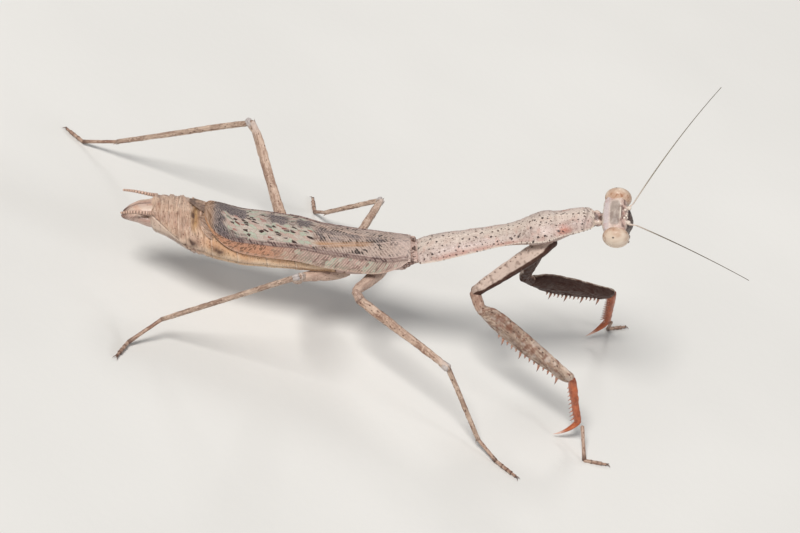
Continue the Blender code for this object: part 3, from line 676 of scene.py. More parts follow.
def tail_material():
    """Polished pinkish-brown last plates and beaded tail feelers."""
    paint = Paint("tail", Roughness=0.32, Specular_IOR_Level=0.5)
    broad = paint.step(paint.clouds(1.2, 4), 0.38, 0.64)
    base = paint.mix(broad, colour(196, 166, 154), colour(164, 128, 114))
    streak = paint.step(paint.clouds(0.4, 3, paint.flow, (0.5, 2.2, 1.0)), 0.48, 0.64)
    base = paint.cover(streak, 0.5, base, colour(224, 200, 184))
    dots = paint.spots(0.3, 0.045, 0.4)
    base = paint.cover(dots, 0.7, base, colour(98, 64, 52))
    base = shaded(paint, base, colour(226, 206, 186), colour(70, 44, 38), colour(208, 148, 118))
    height = paint.sum("SUBTRACT", paint.clouds(0.2, 3), dots)
    return paint.finish(base, paint.step(broad, -1.2, 3.4), height, 0.04)


def slanted(paint, place, slope):
    """The flow of a wing with its cross lines leaning."""
    run = paint.node("VectorMath", {0: place, 1: (1.0, slope, 0.0)},
                     operation="DOT_PRODUCT").outputs["Value"]
    level = paint.node("SeparateXYZ", {0: place}).outputs[1]
    return paint.node("CombineXYZ", {0: run, 1: level}).outputs[0]


def strands(paint, place, apart):
    """Fine threads that cross a wing side by side, this far apart."""
    run = paint.node("SeparateXYZ", {0: place}).outputs[0]
    wave = paint.sum("SINE", paint.sum("MULTIPLY", run, 2 * math.pi / apart))
    broken = paint.step(paint.clouds(0.5, 3, paint.flow, seed=2.0), 0.34, 0.56)
    return paint.sum("MULTIPLY", paint.step(wave, 0.0, 0.8), broken)


def dark_net(paint, small, thread):
    """The smoky parts of a forewing: near-black cells in a fine grey net."""
    net = paint.mix(paint.step(small, 0.3, 0.8), colour(38, 32, 34), colour(84, 76, 80))
    return paint.cover(thread, 0.85, net, colour(142, 128, 126))


def white_patch(paint, place, thread):
    """The pale patch of a forewing: white, mint and pink cells with dark and red lozenges."""
    tone, other, edge = paint.cells(0.52, place, (0.8, 1.2, 1.0), 0.9)
    white = paint.mix(paint.step(tone, 0.64, 0.68), colour(212, 202, 190), colour(188, 202, 182))
    white = paint.mix(paint.step(other, 0.74, 0.78), white, colour(206, 178, 166))
    white = paint.cover(paint.clouds(0.35, 3), 0.45, white, colour(172, 166, 150))
    seam = paint.step(edge, 0.08, 0.03)
    white = paint.cover(seam, 0.45, white, colour(168, 132, 118))
    white = paint.cover(thread, 0.3, white, colour(186, 152, 138))
    kind, fate, gap = paint.cells(0.42, place, (0.72, 1.3, 1.0), 0.85)
    inside = paint.step(gap, 0.06, 0.12)
    chosen = paint.sum("MULTIPLY", paint.step(kind, 0.25, 0.21), inside)
    white = paint.mix(chosen, white, colour(64, 42, 36))
    chosen = paint.sum("MULTIPLY", paint.step(fate, 0.11, 0.08), inside)
    return paint.cover(chosen, 0.8, white, colour(172, 104, 94))


def costal_band(paint, broad):
    """The edge field of a forewing: fine leaning cells of grey-green and pink."""
    place = slanted(paint, paint.wavy(paint.flow, 0.9, 0.22), 0.8)
    lot, fate, _ = paint.cells(0.33, place, (1.0, 0.75, 1.0), 0.85)
    stripe = strands(paint, place, 0.29)
    kind, _, gap = paint.cells(0.3, place, (1.0, 0.8, 1.0), 0.8)
    net = paint.step(gap, 0.16, 0.06)
    band = paint.mix(broad, colour(160, 150, 134), colour(176, 148, 136))
    band = paint.cover(paint.step(lot, 0.74, 0.8), 0.65, band, colour(178, 188, 168))
    band = paint.cover(paint.step(fate, 0.3, 0.24), 0.6, band, colour(112, 82, 74))
    band = paint.cover(stripe, 0.8, band, colour(216, 182, 170))
    rear = paint.cover(paint.step(kind, 0.5, 0.4), 0.85, colour(184, 132, 108), colour(78, 52, 44))
    rear = paint.cover(net, 0.8, rear, colour(210, 156, 132))
    back = paint.node("SeparateXYZ", {0: paint.flow}).outputs[0]
    return paint.mix(paint.step(back, 13.0, 15.5), band, rear)


def tegmen_material():
    """Leathery wing: netted cells with pale, green, red-brown and dark ones, by region."""
    paint = Paint("tegmen", Roughness=0.42, Specular_IOR_Level=0.5)
    patch, smoky, costal = paint.fields
    place = slanted(paint, paint.wavy(paint.flow, 0.9, 0.2), -0.6)
    kind, _, edge = paint.cells(0.36, place, (1.15, 0.7, 1.0), 0.75)
    vein = paint.step(edge, 0.12, 0.04)
    small, _, mesh = paint.cells(0.24, place, (1.0, 0.75, 1.0), 0.8)
    thread = paint.step(mesh, 0.2, 0.08)
    stripe = strands(paint, place, 0.33)
    broad = paint.step(paint.clouds(1.8, 3, paint.flow, (0.6, 1.0, 1.0)), 0.40, 0.62)
    base = paint.mix(broad, colour(186, 164, 152), colour(148, 124, 112))
    base = paint.cover(paint.step(small, 0.6, 0.2), 0.5, base, colour(116, 92, 84))
    grouped = paint.step(paint.clouds(0.9, 2, paint.flow, (0.7, 1.2, 1.0), 4.0), 0.46, 0.54)
    dim = paint.sum("MULTIPLY", paint.step(kind, 0.52, 0.46), grouped)
    base = paint.cover(thread, 0.3, base, colour(216, 194, 182))
    base = paint.cover(dim, 0.94, base, colour(46, 34, 32))
    base = paint.mix(smoky, base, dark_net(paint, small, thread))
    clear = paint.sum("MULTIPLY_ADD", smoky, -1.0, 1.0)
    lit = paint.sum("MULTIPLY", stripe, paint.sum("MULTIPLY_ADD", smoky, -0.75, 1.0))
    base = paint.cover(lit, 0.8, base, colour(214, 192, 178))
    shown = paint.sum("MULTIPLY", patch, clear)
    base = paint.mix(shown, base, white_patch(paint, place, thread))
    base = paint.mix(costal, base, costal_band(paint, broad))
    base = shaded(paint, base, colour(220, 196, 186), colour(104, 72, 70), colour(194, 146, 104))
    lines = paint.sum("MAXIMUM", thread, vein)
    height = paint.sum("ADD", lines, paint.sum("MULTIPLY", paint.clouds(0.2, 2), 0.4))
    return paint.finish(base, paint.step(lines, -1.6, 2.2), height, 0.05)


def membrane_material():
    """Hindwing tip: smoky cells in a net of darker veins."""
    paint = Paint("membrane", Roughness=0.35, Specular_IOR_Level=0.5)
    broad = paint.step(paint.clouds(0.9, 3, paint.flow), 0.4, 0.65)
    base = paint.mix(broad, colour(208, 176, 152), colour(184, 152, 132))
    kind, _, edge = paint.cells(0.26, paint.wavy(paint.flow, 0.5, 0.08), (0.7, 1.2, 1.0), 0.8)
    base = paint.cover(paint.step(kind, 0.4, 0.2), 0.4, base, colour(120, 100, 92))
    vein = paint.step(edge, 0.12, 0.04)
    base = paint.cover(vein, 0.5, base, colour(140, 108, 94))
    base = shaded(paint, base, colour(218, 196, 178), colour(84, 72, 72), colour(196, 150, 110))
    return paint.finish(base, None, vein, 0.05)


def eye_material():
    """Cream-orange compound eye with fine facets, a brown rim and a dark false pupil."""
    paint = Paint("eye", Roughness=0.46, Specular_IOR_Level=0.4, Coat_Weight=0.1,
                  Coat_Roughness=0.25)
    broad = paint.step(paint.clouds(1.1, 3), 0.38, 0.64)
    base = paint.mix(broad, colour(216, 194, 174), colour(196, 166, 144))
    bands = paint.step(paint.clouds(0.5, 2, paint.flow, (1.0, 0.15, 1.0)), 0.45, 0.6)
    base = paint.cover(bands, 0.35, base, colour(234, 216, 198))
    smudge = paint.step(paint.clouds(0.35, 3, seed=2.0), 0.5, 0.66)
    stained = paint.sum("MULTIPLY", smudge, paint.fields[0])
    base = paint.cover(stained, 0.9, base, colour(150, 98, 68))
    base = shaded(paint, base, colour(240, 224, 206), colour(48, 28, 22), colour(186, 138, 108))
    facets = paint.node("TexVoronoi", {"Vector": paint.here, "Scale": 14.0}).outputs["Distance"]
    return paint.finish(base, None, facets, 0.006)


def antenna_material():
    """Pale green-grey base darkening along the feeler."""
    paint = Paint("antenna", Roughness=0.5, Specular_IOR_Level=0.4)
    ring = paint.step(paint.clouds(0.3, 2, paint.flow, (2.0, 0.1, 1.0)), 0.42, 0.6)
    base = paint.mix(ring, colour(150, 142, 122), colour(120, 108, 96))
    base = shaded(paint, base, colour(226, 210, 198), colour(66, 54, 48), colour(160, 110, 84))
    return paint.finish(base, None, paint.clouds(0.08, 2), 0.02)


def leg_material():
    """Pinkish-beige leg with lengthwise streaks, mottles and dark dots."""
    paint = Paint("leg", Roughness=0.55, Specular_IOR_Level=0.2)
    broad = paint.step(paint.clouds(1.8, 4, paint.flow, (0.7, 1.4, 1.0)), 0.4, 0.62)
    base = paint.mix(broad, colour(200, 178, 160), colour(158, 134, 118))
    streak = paint.step(paint.clouds(0.42, 4, paint.flow, (0.35, 2.2, 1.0)), 0.46, 0.64)
    base = paint.cover(streak, 0.6, base, colour(112, 82, 70))
    fleck = paint.step(paint.clouds(0.3, 3, paint.flow, seed=5.0), 0.54, 0.66)
    base = paint.cover(fleck, 0.6, base, colour(222, 200, 180))
    dots = paint.spots(0.32, 0.06, 0.4, (0.6, 1.0, 1.0))
    base = paint.cover(dots, 0.8, base, colour(62, 40, 34))
    base = shaded(paint, base, colour(214, 200, 190), colour(60, 32, 24), colour(178, 96, 62))
    # Grey-white where the field says: the knee lobes, partly their own pale colour and partly a painted
    # highlight.
    base = paint.cover(paint.fields[0], 0.6, base, colour(184, 180, 182))
    height = paint.sum("ADD", paint.clouds(0.18, 4, paint.flow, (0.7, 1.5, 1.0)),
                       paint.sum("MULTIPLY", dots, -0.5))
    return paint.finish(base, paint.step(streak, -1.2, 2.0), height, 0.05)


def grasping_material():
    """Orange-red tibia of the grasping leg, paler at the claw's tip."""
    paint = Paint("grasping_tibia", Roughness=0.35, Specular_IOR_Level=0.5)
    broad = paint.step(paint.clouds(0.9, 3, paint.flow, (0.6, 1.4, 1.0)), 0.4, 0.62)
    base = paint.mix(broad, colour(172, 92, 62), colour(126, 58, 40))
    fleck = paint.step(paint.clouds(0.25, 3, seed=5.0), 0.5, 0.64)
    base = paint.cover(fleck, 0.35, base, colour(206, 138, 100))
    base = shaded(paint, base, colour(226, 208, 196), colour(82, 36, 26), colour(206, 112, 60))
    return paint.finish(base, None, paint.clouds(0.15, 3), 0.04)


def floor_material():
    """Pale matt board with a faint grain."""
    paint = Paint("floor", Roughness=0.8, Specular_IOR_Level=0.3)
    broad = paint.step(paint.clouds(60.0, 3), 0.3, 0.7)
    base = paint.mix(broad, colour(226, 224, 220), colour(232, 230, 226))
    return paint.finish(base, None, paint.clouds(1.2, 3), 0.02)


# ---------------------------------------------------------------- trunk

def make_pronotum(material):
    """The long shield of the forebody, with a keel, a groove and toothed edges."""
    forward = np.linspace(PRONOTUM[0][0], PRONOTUM[-1][0], 380)
    turn = around(120)
    half, height = smooth(PRONOTUM, forward).T
    full = capped(forward, 0.55, 0.8)
    across, out = section(half * full, height * full ** 0.6, PRONOTUM_RIM * full, turn, 1.12)
    grid = np.stack((spread(forward, len(turn)), across, out), axis=-1)
    x, top = grid[..., 0], np.sin(turn) > 0
    edge = bell(np.sin(turn), 0.12)
    aside = across / half[:, None]
    tooth = np.maximum(np.sin(2 * math.pi * (x + 0.11 * np.sin(3.1 * x)) / 0.44), 0) ** 2
    size = (0.05 + 0.07 * rise(x, 8.5, 13.5)) * rise(x, 0.5, 1.5)
    sulcus = bell(x - SULCUS_AT - 0.35 * (1 - aside ** 2), 0.16) * (1 - 0.7 * aside ** 2)
    crease = bell(x - 12.6 + 0.9 * aside ** 2, 0.2) * rise(np.abs(aside), 0.15, 0.5)
    keel = bell(across, 0.1) * (1 - rise(x, 16.0, 18.5))
    collar = bell(x - 18.55 + 0.75 * aside ** 2, 0.1)
    grain = np.maximum(noise(grid, 0.3, 3), 0) ** 2
    dent = bell(np.abs(aside) - 0.45, 0.2) * bell(x - 16.3, 0.9)
    amount = np.where(top, 0.05 * keel + 0.06 * grain - 0.07 * sulcus - 0.05 * crease
                      - 0.05 * collar - 0.08 * dent + 0.05 * noise(grid, 1.2, 5), 0.0)
    amount = amount + edge * tooth * size
    grid = push(grid, amount)
    patch = bell(x - 15.8, 0.7) * bell(np.sin(turn) - 0.5, 0.25) * top
    flush = bell(np.sin(turn) - 0.28, 0.2) * rise(x, 1.0, 3.0) * (1 - rise(x, 9.0, 13.0)) * top
    warm = np.clip(0.75 * patch + 0.4 * flush * (1 + noise(grid, 0.7, 6)), 0, 1)
    dark = np.clip(0.16 * sulcus + 0.12 * crease + 0.45 * collar, 0, 1) * top
    # Painted shade: the underside of the shield is darkened.
    dark = np.maximum(dark, 0.35 * rise(-np.sin(turn), 0.1, 0.5))
    points = edge * rise(tooth, 0.4, 0.8) * rise(x, 8.5, 11.0)
    dark = np.maximum(dark, 0.85 * points)
    # The last term is a painted highlight: the top of the shield is paled along its crest.
    pale = np.clip(0.9 * bell(np.sin(turn) - 0.05, 0.12) + 0.25 * keel + 0.6 * rise(x, 18.7, 19.1) * top
                   + 0.45 * rise(np.sin(turn), 0.75, 1.0), 0, 1)
    skin = Skin()
    skin.add(placed(grid, PROTHORAX), tint=(pale * (1 - dark), dark, warm))
    skin.piece("pronotum_shield", material, ["pronotum"])


def make_prosternum(material):
    """The plates under the forebody."""
    forward = np.linspace(PROSTERNUM[0][0], PROSTERNUM[-1][0], 200)
    turn = around(64)
    half, depth = smooth(PROSTERNUM, forward).T
    full = capped(forward, 0.5, 0.5)
    across, out = section(half * full, 0.15 * full, depth * full, turn)
    grid = np.stack((spread(forward, len(turn)), across,
                     out - PRONOTUM_RIM), axis=-1)
    x = grid[..., 0]
    groove = bell(x - 11.6, 0.15) + bell(x - 16.2, 0.12) + bell(x - 6.0, 0.12)
    amount = 0.04 * noise(grid, 0.8, 6) - 0.08 * groove - 0.04 * bell(across, 0.12)
    grid = push(grid, amount)
    skin = Skin()
    skin.add(placed(grid, PROTHORAX), tint=(0.0, np.clip(0.5 * groove, 0, 1), 0.0))
    skin.piece("prosternum_plates", material, ["prosternum"])


def make_neck(material):
    """The soft folded neck, from inside the shield to inside the head."""
    front = placed((PRONOTUM[-1][0] - 0.6, 0.0, 0.05), PROTHORAX)
    back = placed((-0.9, 0.0, -0.3), SKULL)
    share = np.linspace(0, 1, 90)
    along = unit(back - front)
    folds = 0.06 * np.sin(share * 2 * math.pi * 3.4 + 1.5 * np.sin(9 * share))
    thick = 0.86 - 0.16 * rise(share, 0.2, 0.7) + folds
    grid = tube(front + (back - front) * share[:, None], np.stack((thick, thick - 0.05), 1),
                np.cross(along, (0, -1, 0)), 48)
    bumps = noise(grid, 0.5, 8) + 0.6 * noise(grid, 0.22, 7)
    grid = push(grid, 0.12 * bumps)
    # Painted shade in the fold troughs and in the dips between bumps; the pale tint on the bumps below
    # is a painted highlight.
    dark = np.clip(0.3 - 4 * folds[:, None] - 1.4 * bumps, 0, 0.85)
    skin = Skin()
    skin.add(grid, tint=(np.clip(2.2 * bumps, 0, 0.95), dark, 0.15))
    skin.piece("neck_skin", material, ["neck"])


# Plates and folds at the wings' hinges: place in the body frame, size, how dark
HINGES = (((0.30, 0.70, 0.88), 0.24, 0.8), ((0.05, 1.05, 0.68), 0.26, 0.3),
          ((0.25, 1.40, 0.42), 0.22, 0.15), ((-0.05, 1.70, 0.20), 0.26, 0.5),
          ((0.10, 1.92, -0.05), 0.24, 0.85), ((-0.35, 2.10, -0.25), 0.28, 0.7),
          ((0.45, 1.45, -0.15), 0.36, 0.3), ((-0.75, 2.22, -0.42), 0.22, 0.8))


def add_knob(skin, at, size, dark):
    """A small rough lump."""
    ball = ball_grid(24, 30)
    grid = at + size * ball
    rough = noise(grid, 0.9 * size, 18) + 0.5 * noise(grid, 0.4 * size, 19)
    grid = grid + 0.5 * size * rough[..., None] * ball
    # Painted shade and highlight: the lump is darker where its surface dips and paler where it swells.
    dark = np.clip(dark - 0.5 * rough, 0, 1)
    skin.add(grid, caps=(False, False), tint=(0.4 * (1 - dark), dark, 0.25))


def make_pterothorax(material):
    """The thorax under the wings, with its side plates."""
    back = np.linspace(PTEROTHORAX[0][0], PTEROTHORAX[-1][0], 200)
    turn = around(96)
    grid, _ = trunk(PTEROTHORAX, back, turn, 0.3, 0.0)
    x, low = -grid[..., 0], np.sin(turn) < 0.2
    seams = (bell(x - 1.6 - 0.5 * np.sin(turn), 0.1) + bell(x - 3.4 + 0.8 * np.sin(turn), 0.1)
             + bell(x - 5.2 - 0.6 * np.sin(turn), 0.1) + bell(x - 6.9 + 0.5 * np.sin(turn), 0.1))
    amount = 0.07 * noise(grid, 0.9, 9) - 0.1 * seams * low - 0.06 * bell(np.sin(turn), 0.12)
    grid = push(grid, amount)
    skin = Skin()
    skin.add(placed(grid, BODY), tint=(0.15, np.clip(0.5 * seams * low, 0, 1), 0.25))
    for side in (1, -1):
        for at, size, dark in HINGES:
            add_knob(skin, placed((at[0], at[1] * side, at[2]), BODY), size, dark)
    skin.piece("pterothorax_plates", material, ["pterothorax"])


def make_abdomen(material):
    """One skin for all the rings, each ring's hind edge standing over the next."""
    back = np.linspace(ABDOMEN_SEAMS[0], ABDOMEN_SEAMS[-1] + 0.25, 560)
    turn = around(180)
    grid, full = trunk(ABDOMEN, back, turn, 0.0, 0.9)
    b = spread(back, len(turn))
    rise_angle = np.degrees(np.arcsin(np.sin(turn)))[None] + 0 * b
    seams = np.array(RING_EDGES)
    bent = b + 0.18 * bell(rise_angle + 10, 25) + 0.06 * noise(grid, 1.1, 13)
    ring = np.clip(np.searchsorted(seams, bent, side="right") - 1, 0, len(seams) - 2)
    share = np.clip((bent - seams[ring]) / (seams[ring + 1] - seams[ring]), 0, 1)
    long = seams[ring + 1] - seams[ring]
    rear = rise(b, 20.5, 23.0)
    past_plate = b - np.interp(rise_angle, *zip(*LAST_PLATE_EDGE))
    plate = rise(past_plate, 0.0, 0.12)
    before, after = (1 - share) * long, share * long
    lap = (0.04 + 0.05 * rear) * rise(share, 0.2, 1.0) + 0.03 * bell(before, 0.1)
    lap = lap * (1 - 0.9 * plate) + 0.05 * plate
    fold = bell(rise_angle + 17, 5)
    low = rise(-rise_angle, 22, 40)
    crinkle = noise(np.stack((3.2 * b, turn[None] * 2.2 + 0 * b, 0 * b), axis=-1), 0.8, 12)
    crinkle += 0.6 * noise(np.stack((5.5 * b, turn[None] * 4.0 + 0 * b, 0 * b), axis=-1), 0.8, 15)
    edge = bell(past_plate, 0.07)
    amount = (lap + (0.015 + 0.065 * rear) * crinkle * (1 - 0.7 * plate) - 0.08 * edge
              - (0.09 * fold + 0.03 * bell(after, 0.05)) * (1 - plate))
    grid = push(grid, amount * full[:, None])
    blotch = 0.5 + 0.5 * noise(grid, 0.35, 16)
    scar = (1.3 * bell(b - 23.0, 0.4) * bell(rise_angle - 5, 9) + bell(b - 23.05, 0.16)
            * bell(rise_angle - 68, 22) + 0.9 * bell(b - 20.4, 0.75) * bell(rise_angle - 8, 13))
    ochre = bell(b - 22.9, 0.33) * rise(rise_angle, 25, 50) * (0.55 + 0.3 * blotch)
    # groove: dark seams at the ring edges, and painted shade in the wrinkle troughs at the rear.
    groove = bell(after, 0.045) + 0.55 * rear * rise(-crinkle, 0.15, 0.7)
    dark = np.clip(0.45 * groove * (1 - plate) + 0.25 * fold + 0.6 * edge
                   + scar * (0.35 + blotch), 0, 0.92)
    hem = (0.75 - 0.45 * rear) * (0.4 + 0.9 * blotch) * bell(before, 0.12)
    pale = np.clip(hem * (1 - plate) + 0.3 * bell(rise_angle + 5, 8)
                   + 0.8 * bell(past_plate - 0.3, 0.1), 0, 1)
    warm = 0.35 * (1 - rear) * bell(rise_angle - 22, 16) * rise(b, 11.0, 14.0)
    lilac = np.clip(0.75 * low * rise(b, 20.0, 22.5) + 0.3 * low + 0.5 * plate, 0, 0.9)
    skin = Skin()
    skin.add(placed(grid, BODY), tint=(pale * (1 - dark), dark, warm),
             field=(ochre, lilac, rear))
    skin.piece("abdomen_skin", material,
               [f"abdomen_{i}" for i in range(1, len(ABDOMEN_SEAMS))])


def make_beak(material):
    """The last plate below, the egg-laying valves above it, and the tail feelers."""
    turn = around(72)
    for name, rows, node in (("last_plate", SUBGENITAL, "subgenital_plate"),
                             ("egg_valves", OVIPOSITOR, "ovipositor")):
        back = np.linspace(rows[0][0], rows[-1][0], 120)
        grid, _ = trunk(rows, back, turn, 0.0, 0.3)
        groove = bell(grid[..., 1], 0.09) * (np.sin(turn) > 0) * (node == "ovipositor")
        amount = 0.03 * noise(grid, 0.7, 14) - 0.1 * groove
        grid = push(grid, amount)
        tip = rise(back, 29.4, 30.5)[:, None] * np.ones_like(amount)
        low = rise(0.1 - np.sin(turn), 0.0, 0.7) * (node == "ovipositor")
        streak = rise(noise(grid * (0.35, 1.0, 1.0), 0.35, 17), 0.1, 0.6)
        dark = np.clip(0.5 * tip + 0.6 * groove + 0.45 * low + 0.3 * tip * streak, 0, 1)
        # Painted highlight: a pale band along the top of each plate.
        painted_highlight = bell(np.sin(turn) - 0.75, 0.2) * (1 - tip)
        dark = np.maximum(dark, 0.5 * (node == "subgenital_plate") * streak)
        skin = Skin()
        skin.add(placed(grid, BODY), tint=(0.6 * painted_highlight, dark, 0.3 * streak))
        skin.piece(name, material, [node])
    for side, name in SIDES:
        share = np.linspace(0, 1, 150)
        rows = [(i / 3, x, y * side, z) for i, (x, y, z) in enumerate(CERCUS)]
        path = placed(smooth(rows, share), BODY)
        bead = beaded(share, CERCUS_BEADS, 0.7)
        thick = (0.25 - 0.12 * share) * (0.6 + 0.4 * bead) * ended(share, 3.7, 0, 0.15)
        grid = round_tube(path, thick, (0, 0, 1), 20)
        skin = Skin()
        skin.add(grid, tint=(0.5, spread(1 - bead, grid.shape[1]), 0.3))
        skin.piece(f"cercus_{name}_beads", material, [f"cercus_{name}"])


# ---------------------------------------------------------------- wings

def tegmen_edge(back):
    """The angle of a tegmen's outer edge: 0 until its tip rounds off."""
    share = np.clip((back - (TEGMEN_END - TEGMEN_TAPER)) / TEGMEN_TAPER, 0, 0.999)
    return math.radians(88) * (1 - np.sqrt(1 - share ** 2))


def wing_grid(back, angle, inset, side):
    """Points on the folded wings' arch, by angle up from the edge."""
    half, level, height = [column[:, None] for column in smooth(WING_ARCH, back).T]
    return np.stack((-spread(back, angle.shape[1]),
                     side * (half - inset) * np.cos(angle),
                     level + (height - inset) * np.sin(angle)), axis=-1)


# The long veins of a tegmen: rows of distance back and level above the lower edge
RADIAL_VEIN = ((0.3, 0.15), (1.0, 0.62), (2.0, 0.95), (3.2, 1.25), (4.5, 1.46), (6.5, 1.52),
               (10.0, 1.46), (14.0, 1.32), (18.0, 1.15), (20.0, 0.75), (21.9, 0.25))
MEDIAL_VEIN = ((0.3, 0.30), (1.0, 0.95), (2.5, 1.60), (4.5, 1.95), (7.0, 1.92), (9.5, 1.70),
               (11.5, 1.50), (13.0, 1.40))
CUBITAL_VEIN = ((0.3, 1.30), (1.0, 2.70), (3.0, 3.50), (5.0, 3.42), (7.5, 2.95), (9.5, 2.40),
                (11.5, 1.95), (15.0, 1.85), (19.0, 1.75), (21.9, 1.40))
ANAL_VEINS = ((1.05, 0.28), (1.9, 0.24), (2.75, 0.20), (3.6, 0.12))
OCHRE_BAND = ((4.0, 3.62), (6.0, 3.25), (8.0, 2.85), (10.0, 2.55), (11.0, 2.5))


def vein(b, level, rows, width):
    """How close each point lies to a long vein, within the vein's stretch."""
    line = smooth(rows, b[:, 0])
    inside = (b >= rows[0][0]) & (b <= rows[-1][0])
    return bell(level - line, width) * inside


def make_tegmen(side, name, material):
    """A leathery forewing with raised veins, in regions of different cells."""
    back = np.linspace(TEGMEN_START - 0.3, TEGMEN_END - 0.02, 560)
    low = tegmen_edge(back)[:, None]
    top = math.radians(99 if side < 0 else 88)
    angle = low + np.linspace(0, 1, 150) * (top - low)
    lift = 0.09 * (side < 0) * rise(angle, 1.15, 1.4)
    outer = wing_grid(back, angle, -lift, side)
    level = girth(outer)
    b = spread(back, angle.shape[1])
    rough = 0.35 * noise(np.stack((b, level, np.full_like(b, 9.0)), axis=-1), 0.6, 22)
    radial = smooth(RADIAL_VEIN, back)
    mauve = vein(b, level - 0.2, RADIAL_VEIN, 0.3) * (1 - rise(b, 19.0, 21.0))
    lines = vein(b, level, RADIAL_VEIN, 0.05) + vein(b, level - 0.34, RADIAL_VEIN, 0.05)
    dark = np.clip(0.42 * mauve + 0.4 * lines * (1 - rise(b, 17.5, 20.0)), 0, 0.75)
    second = vein(b, level, MEDIAL_VEIN, 0.08) + 0.8 * vein(b, level, CUBITAL_VEIN, 0.07)
    second = second * (1 - 0.9 * rise(b, 17.5, 19.5))
    ridge = 0.09 * bell(level - radial - 0.08, 0.15) + 0.06 * second
    for lift_at, slope in ANAL_VEINS:
        line = smooth(CUBITAL_VEIN, back) + lift_at - slope * b * 0.12
        near = bell(level - line, 0.06) * rise(b, 0.6, 2.0) * (1 - rise(b, 17.5, 20.0))
        ridge = ridge + 0.035 * near
        second = second + 0.35 * near
    hem = bell(level, 0.09)
    ridge = ridge + 0.06 * hem + 0.02 * noise(outer, 0.5, 21)
    outer = push(outer, ridge, closed=False)
    inner = wing_grid(back, angle, 0.16 - lift, side)
    patch = (rise(b + rough, 9.9, 10.6) * (1 - rise(b + rough, 19.3, 20.0))
             * rise(level - radial + rough, 0.35, 0.6))
    over = level - (4.35 if side < 0 else 2.3) + 0.8 * rough
    strip = np.clip(1.3 * bell(b + rough - 11.4, 0.75) + 1.3 * bell(b + rough - 14.2, 1.2)
                    + rise(b + rough, 17.0, 17.6), 0, 1) * rise(over, -0.3, 0.0)
    under = bell(level - 1.65, 0.55) * rise(b + rough, 17.2, 18.2)
    apex = np.clip(0.8 * under + 0.85 * rise(b + 1.5 * rough, 19.5, 20.2), 0, 1)
    apex = apex * (level > radial)
    blade = (rise(level + rough, 3.3, 3.9) * rise(b, 2.2, 3.2) * (1 - rise(b, 9.8, 10.4))
             * rise(noise(np.stack((0.5 * b, level, b * 0), axis=-1), 0.5, 23), -0.25, 0.2))
    smoky = np.clip(strip + apex + 0.6 * blade, 0, 1) * (1 - rise(b + rough, 20.3, 21.1))
    costal = rise(radial - level, 0.0, 0.06)
    flow = np.stack((b, level, np.full_like(b, 5.0 + side)), axis=-1)
    ochre = bell(level - smooth(OCHRE_BAND, back), 0.3) * rise(b, 3.6, 5.0)
    ochre = ochre * (1 - rise(b, 9.5, 11.0)) * (0.2 if side > 0 else 1.0)
    warm = np.clip(0.75 * ochre + 0.25 * costal * rise(b, 11.0, 14.0)
                   + 0.45 * rise(b, 20.6, 21.3) + 0.3 * bell(level, 0.2), 0, 1)
    base = (1 - rise(b, 0.5, 3.2)) * 0.55
    bead = bell(level - 0.17, 0.05) * (1 - rise(b, 18.5, 20.0))
    pale = np.clip(0.7 * second + 0.4 * bead + base + 0.6 * bell(level - 0.03, 0.045), 0, 1)
    pale = pale * (1 - dark)
    skin = Skin()
    add_sheet(skin, placed(outer, BODY), placed(inner, BODY), flow,
              (pale, dark, warm * (1 - pale)), (patch, smoky, costal))
    skin.piece(f"tegmen_{name}_wing", material, [f"tegmen_{name}"])


def add_sheet(skin, outer, inner, flow, tint, field=(0.0, 0.0, 0.0)):
    """A thin closed sheet between an outer and an inner grid."""
    loop = np.concatenate((outer, inner[:, ::-1]), axis=1)
    flows = np.concatenate((flow, flow[:, ::-1]), axis=1)
    tint, field = ([np.broadcast_to(mask, outer.shape[:2]) for mask in masks]
                   for masks in (tint, field))
    tint, field = ([np.concatenate((mask, mask[:, ::-1]), axis=1) for mask in masks]
                   for masks in (tint, field))
    skin.add(loop, closed=True, caps=(False, False), flow=flows, tint=tint, field=field)
    close_ends(skin, loop.shape[0], loop.shape[1])


def close_ends(skin, rows, columns):
    """Close a sheet's two ends with a strip of quads between its outer and inner side."""
    first = skin.count - rows * columns
    for row in (0, rows - 1):
        start = first + row * columns
        for i in range(columns // 2 - 1):
            j = columns - 1 - i
            skin.faces.append([start + i, start + i + 1, start + j - 1, start + j])


def make_hindwing(side, name, material):
    """The pleated tip of a hindwing that shows behind the tegmina."""
    start, end = 21.0, HINDWING_END[name]
    share = np.linspace(0, 1, 90)
    back = start + share * (end - start)
    b = spread(back, len(share))
    low = np.radians(36 + 28 * share ** 2)[:, None]
    high = np.radians(87 - 10 * share ** 2)[:, None]
    angle = low + share * (high - low)
    sheets = []
    for lift in (0.26, 0.12):
        half, level, up, _ = [column[:, None] for column in smooth(ABDOMEN, back).T]
        sheets.append(np.stack((-b, side * (half + lift) * np.cos(angle),
                                level + (up + lift) * np.sin(angle)), axis=-1))
    pleat = np.sin((angle - low) / (high - low) * math.pi * HINDWING_PLEATS)
    outer = push(sheets[0], 0.05 * pleat + 0.02 * noise(sheets[0], 0.4, 31), closed=False)
    flow = np.stack((b, girth(outer), np.full_like(b, 3.0 + side)), axis=-1)
    rim = spread(rise(share, 0.8, 1.0), len(share))
    high_up = rise(np.degrees(angle) + 8 * noise(outer, 0.5, 32), 62, 72) * (side > 0)
    stain = bell(b - 23.0, 0.2) * bell(np.degrees(angle) - 60, 14)
    dark = np.clip(0.5 * high_up + 0.2 * rim + 0.6 * stain, 0, 1)
    skin = Skin()
    add_sheet(skin, placed(outer, BODY), placed(sheets[1], BODY), flow,
              (np.clip(0.3 * pleat, 0, 1) * (1 - dark), dark, 0.4 * rim))
    skin.piece(f"hindwing_{name}_tip", material, [f"hindwing_{name}"])


# ---------------------------------------------------------------- head

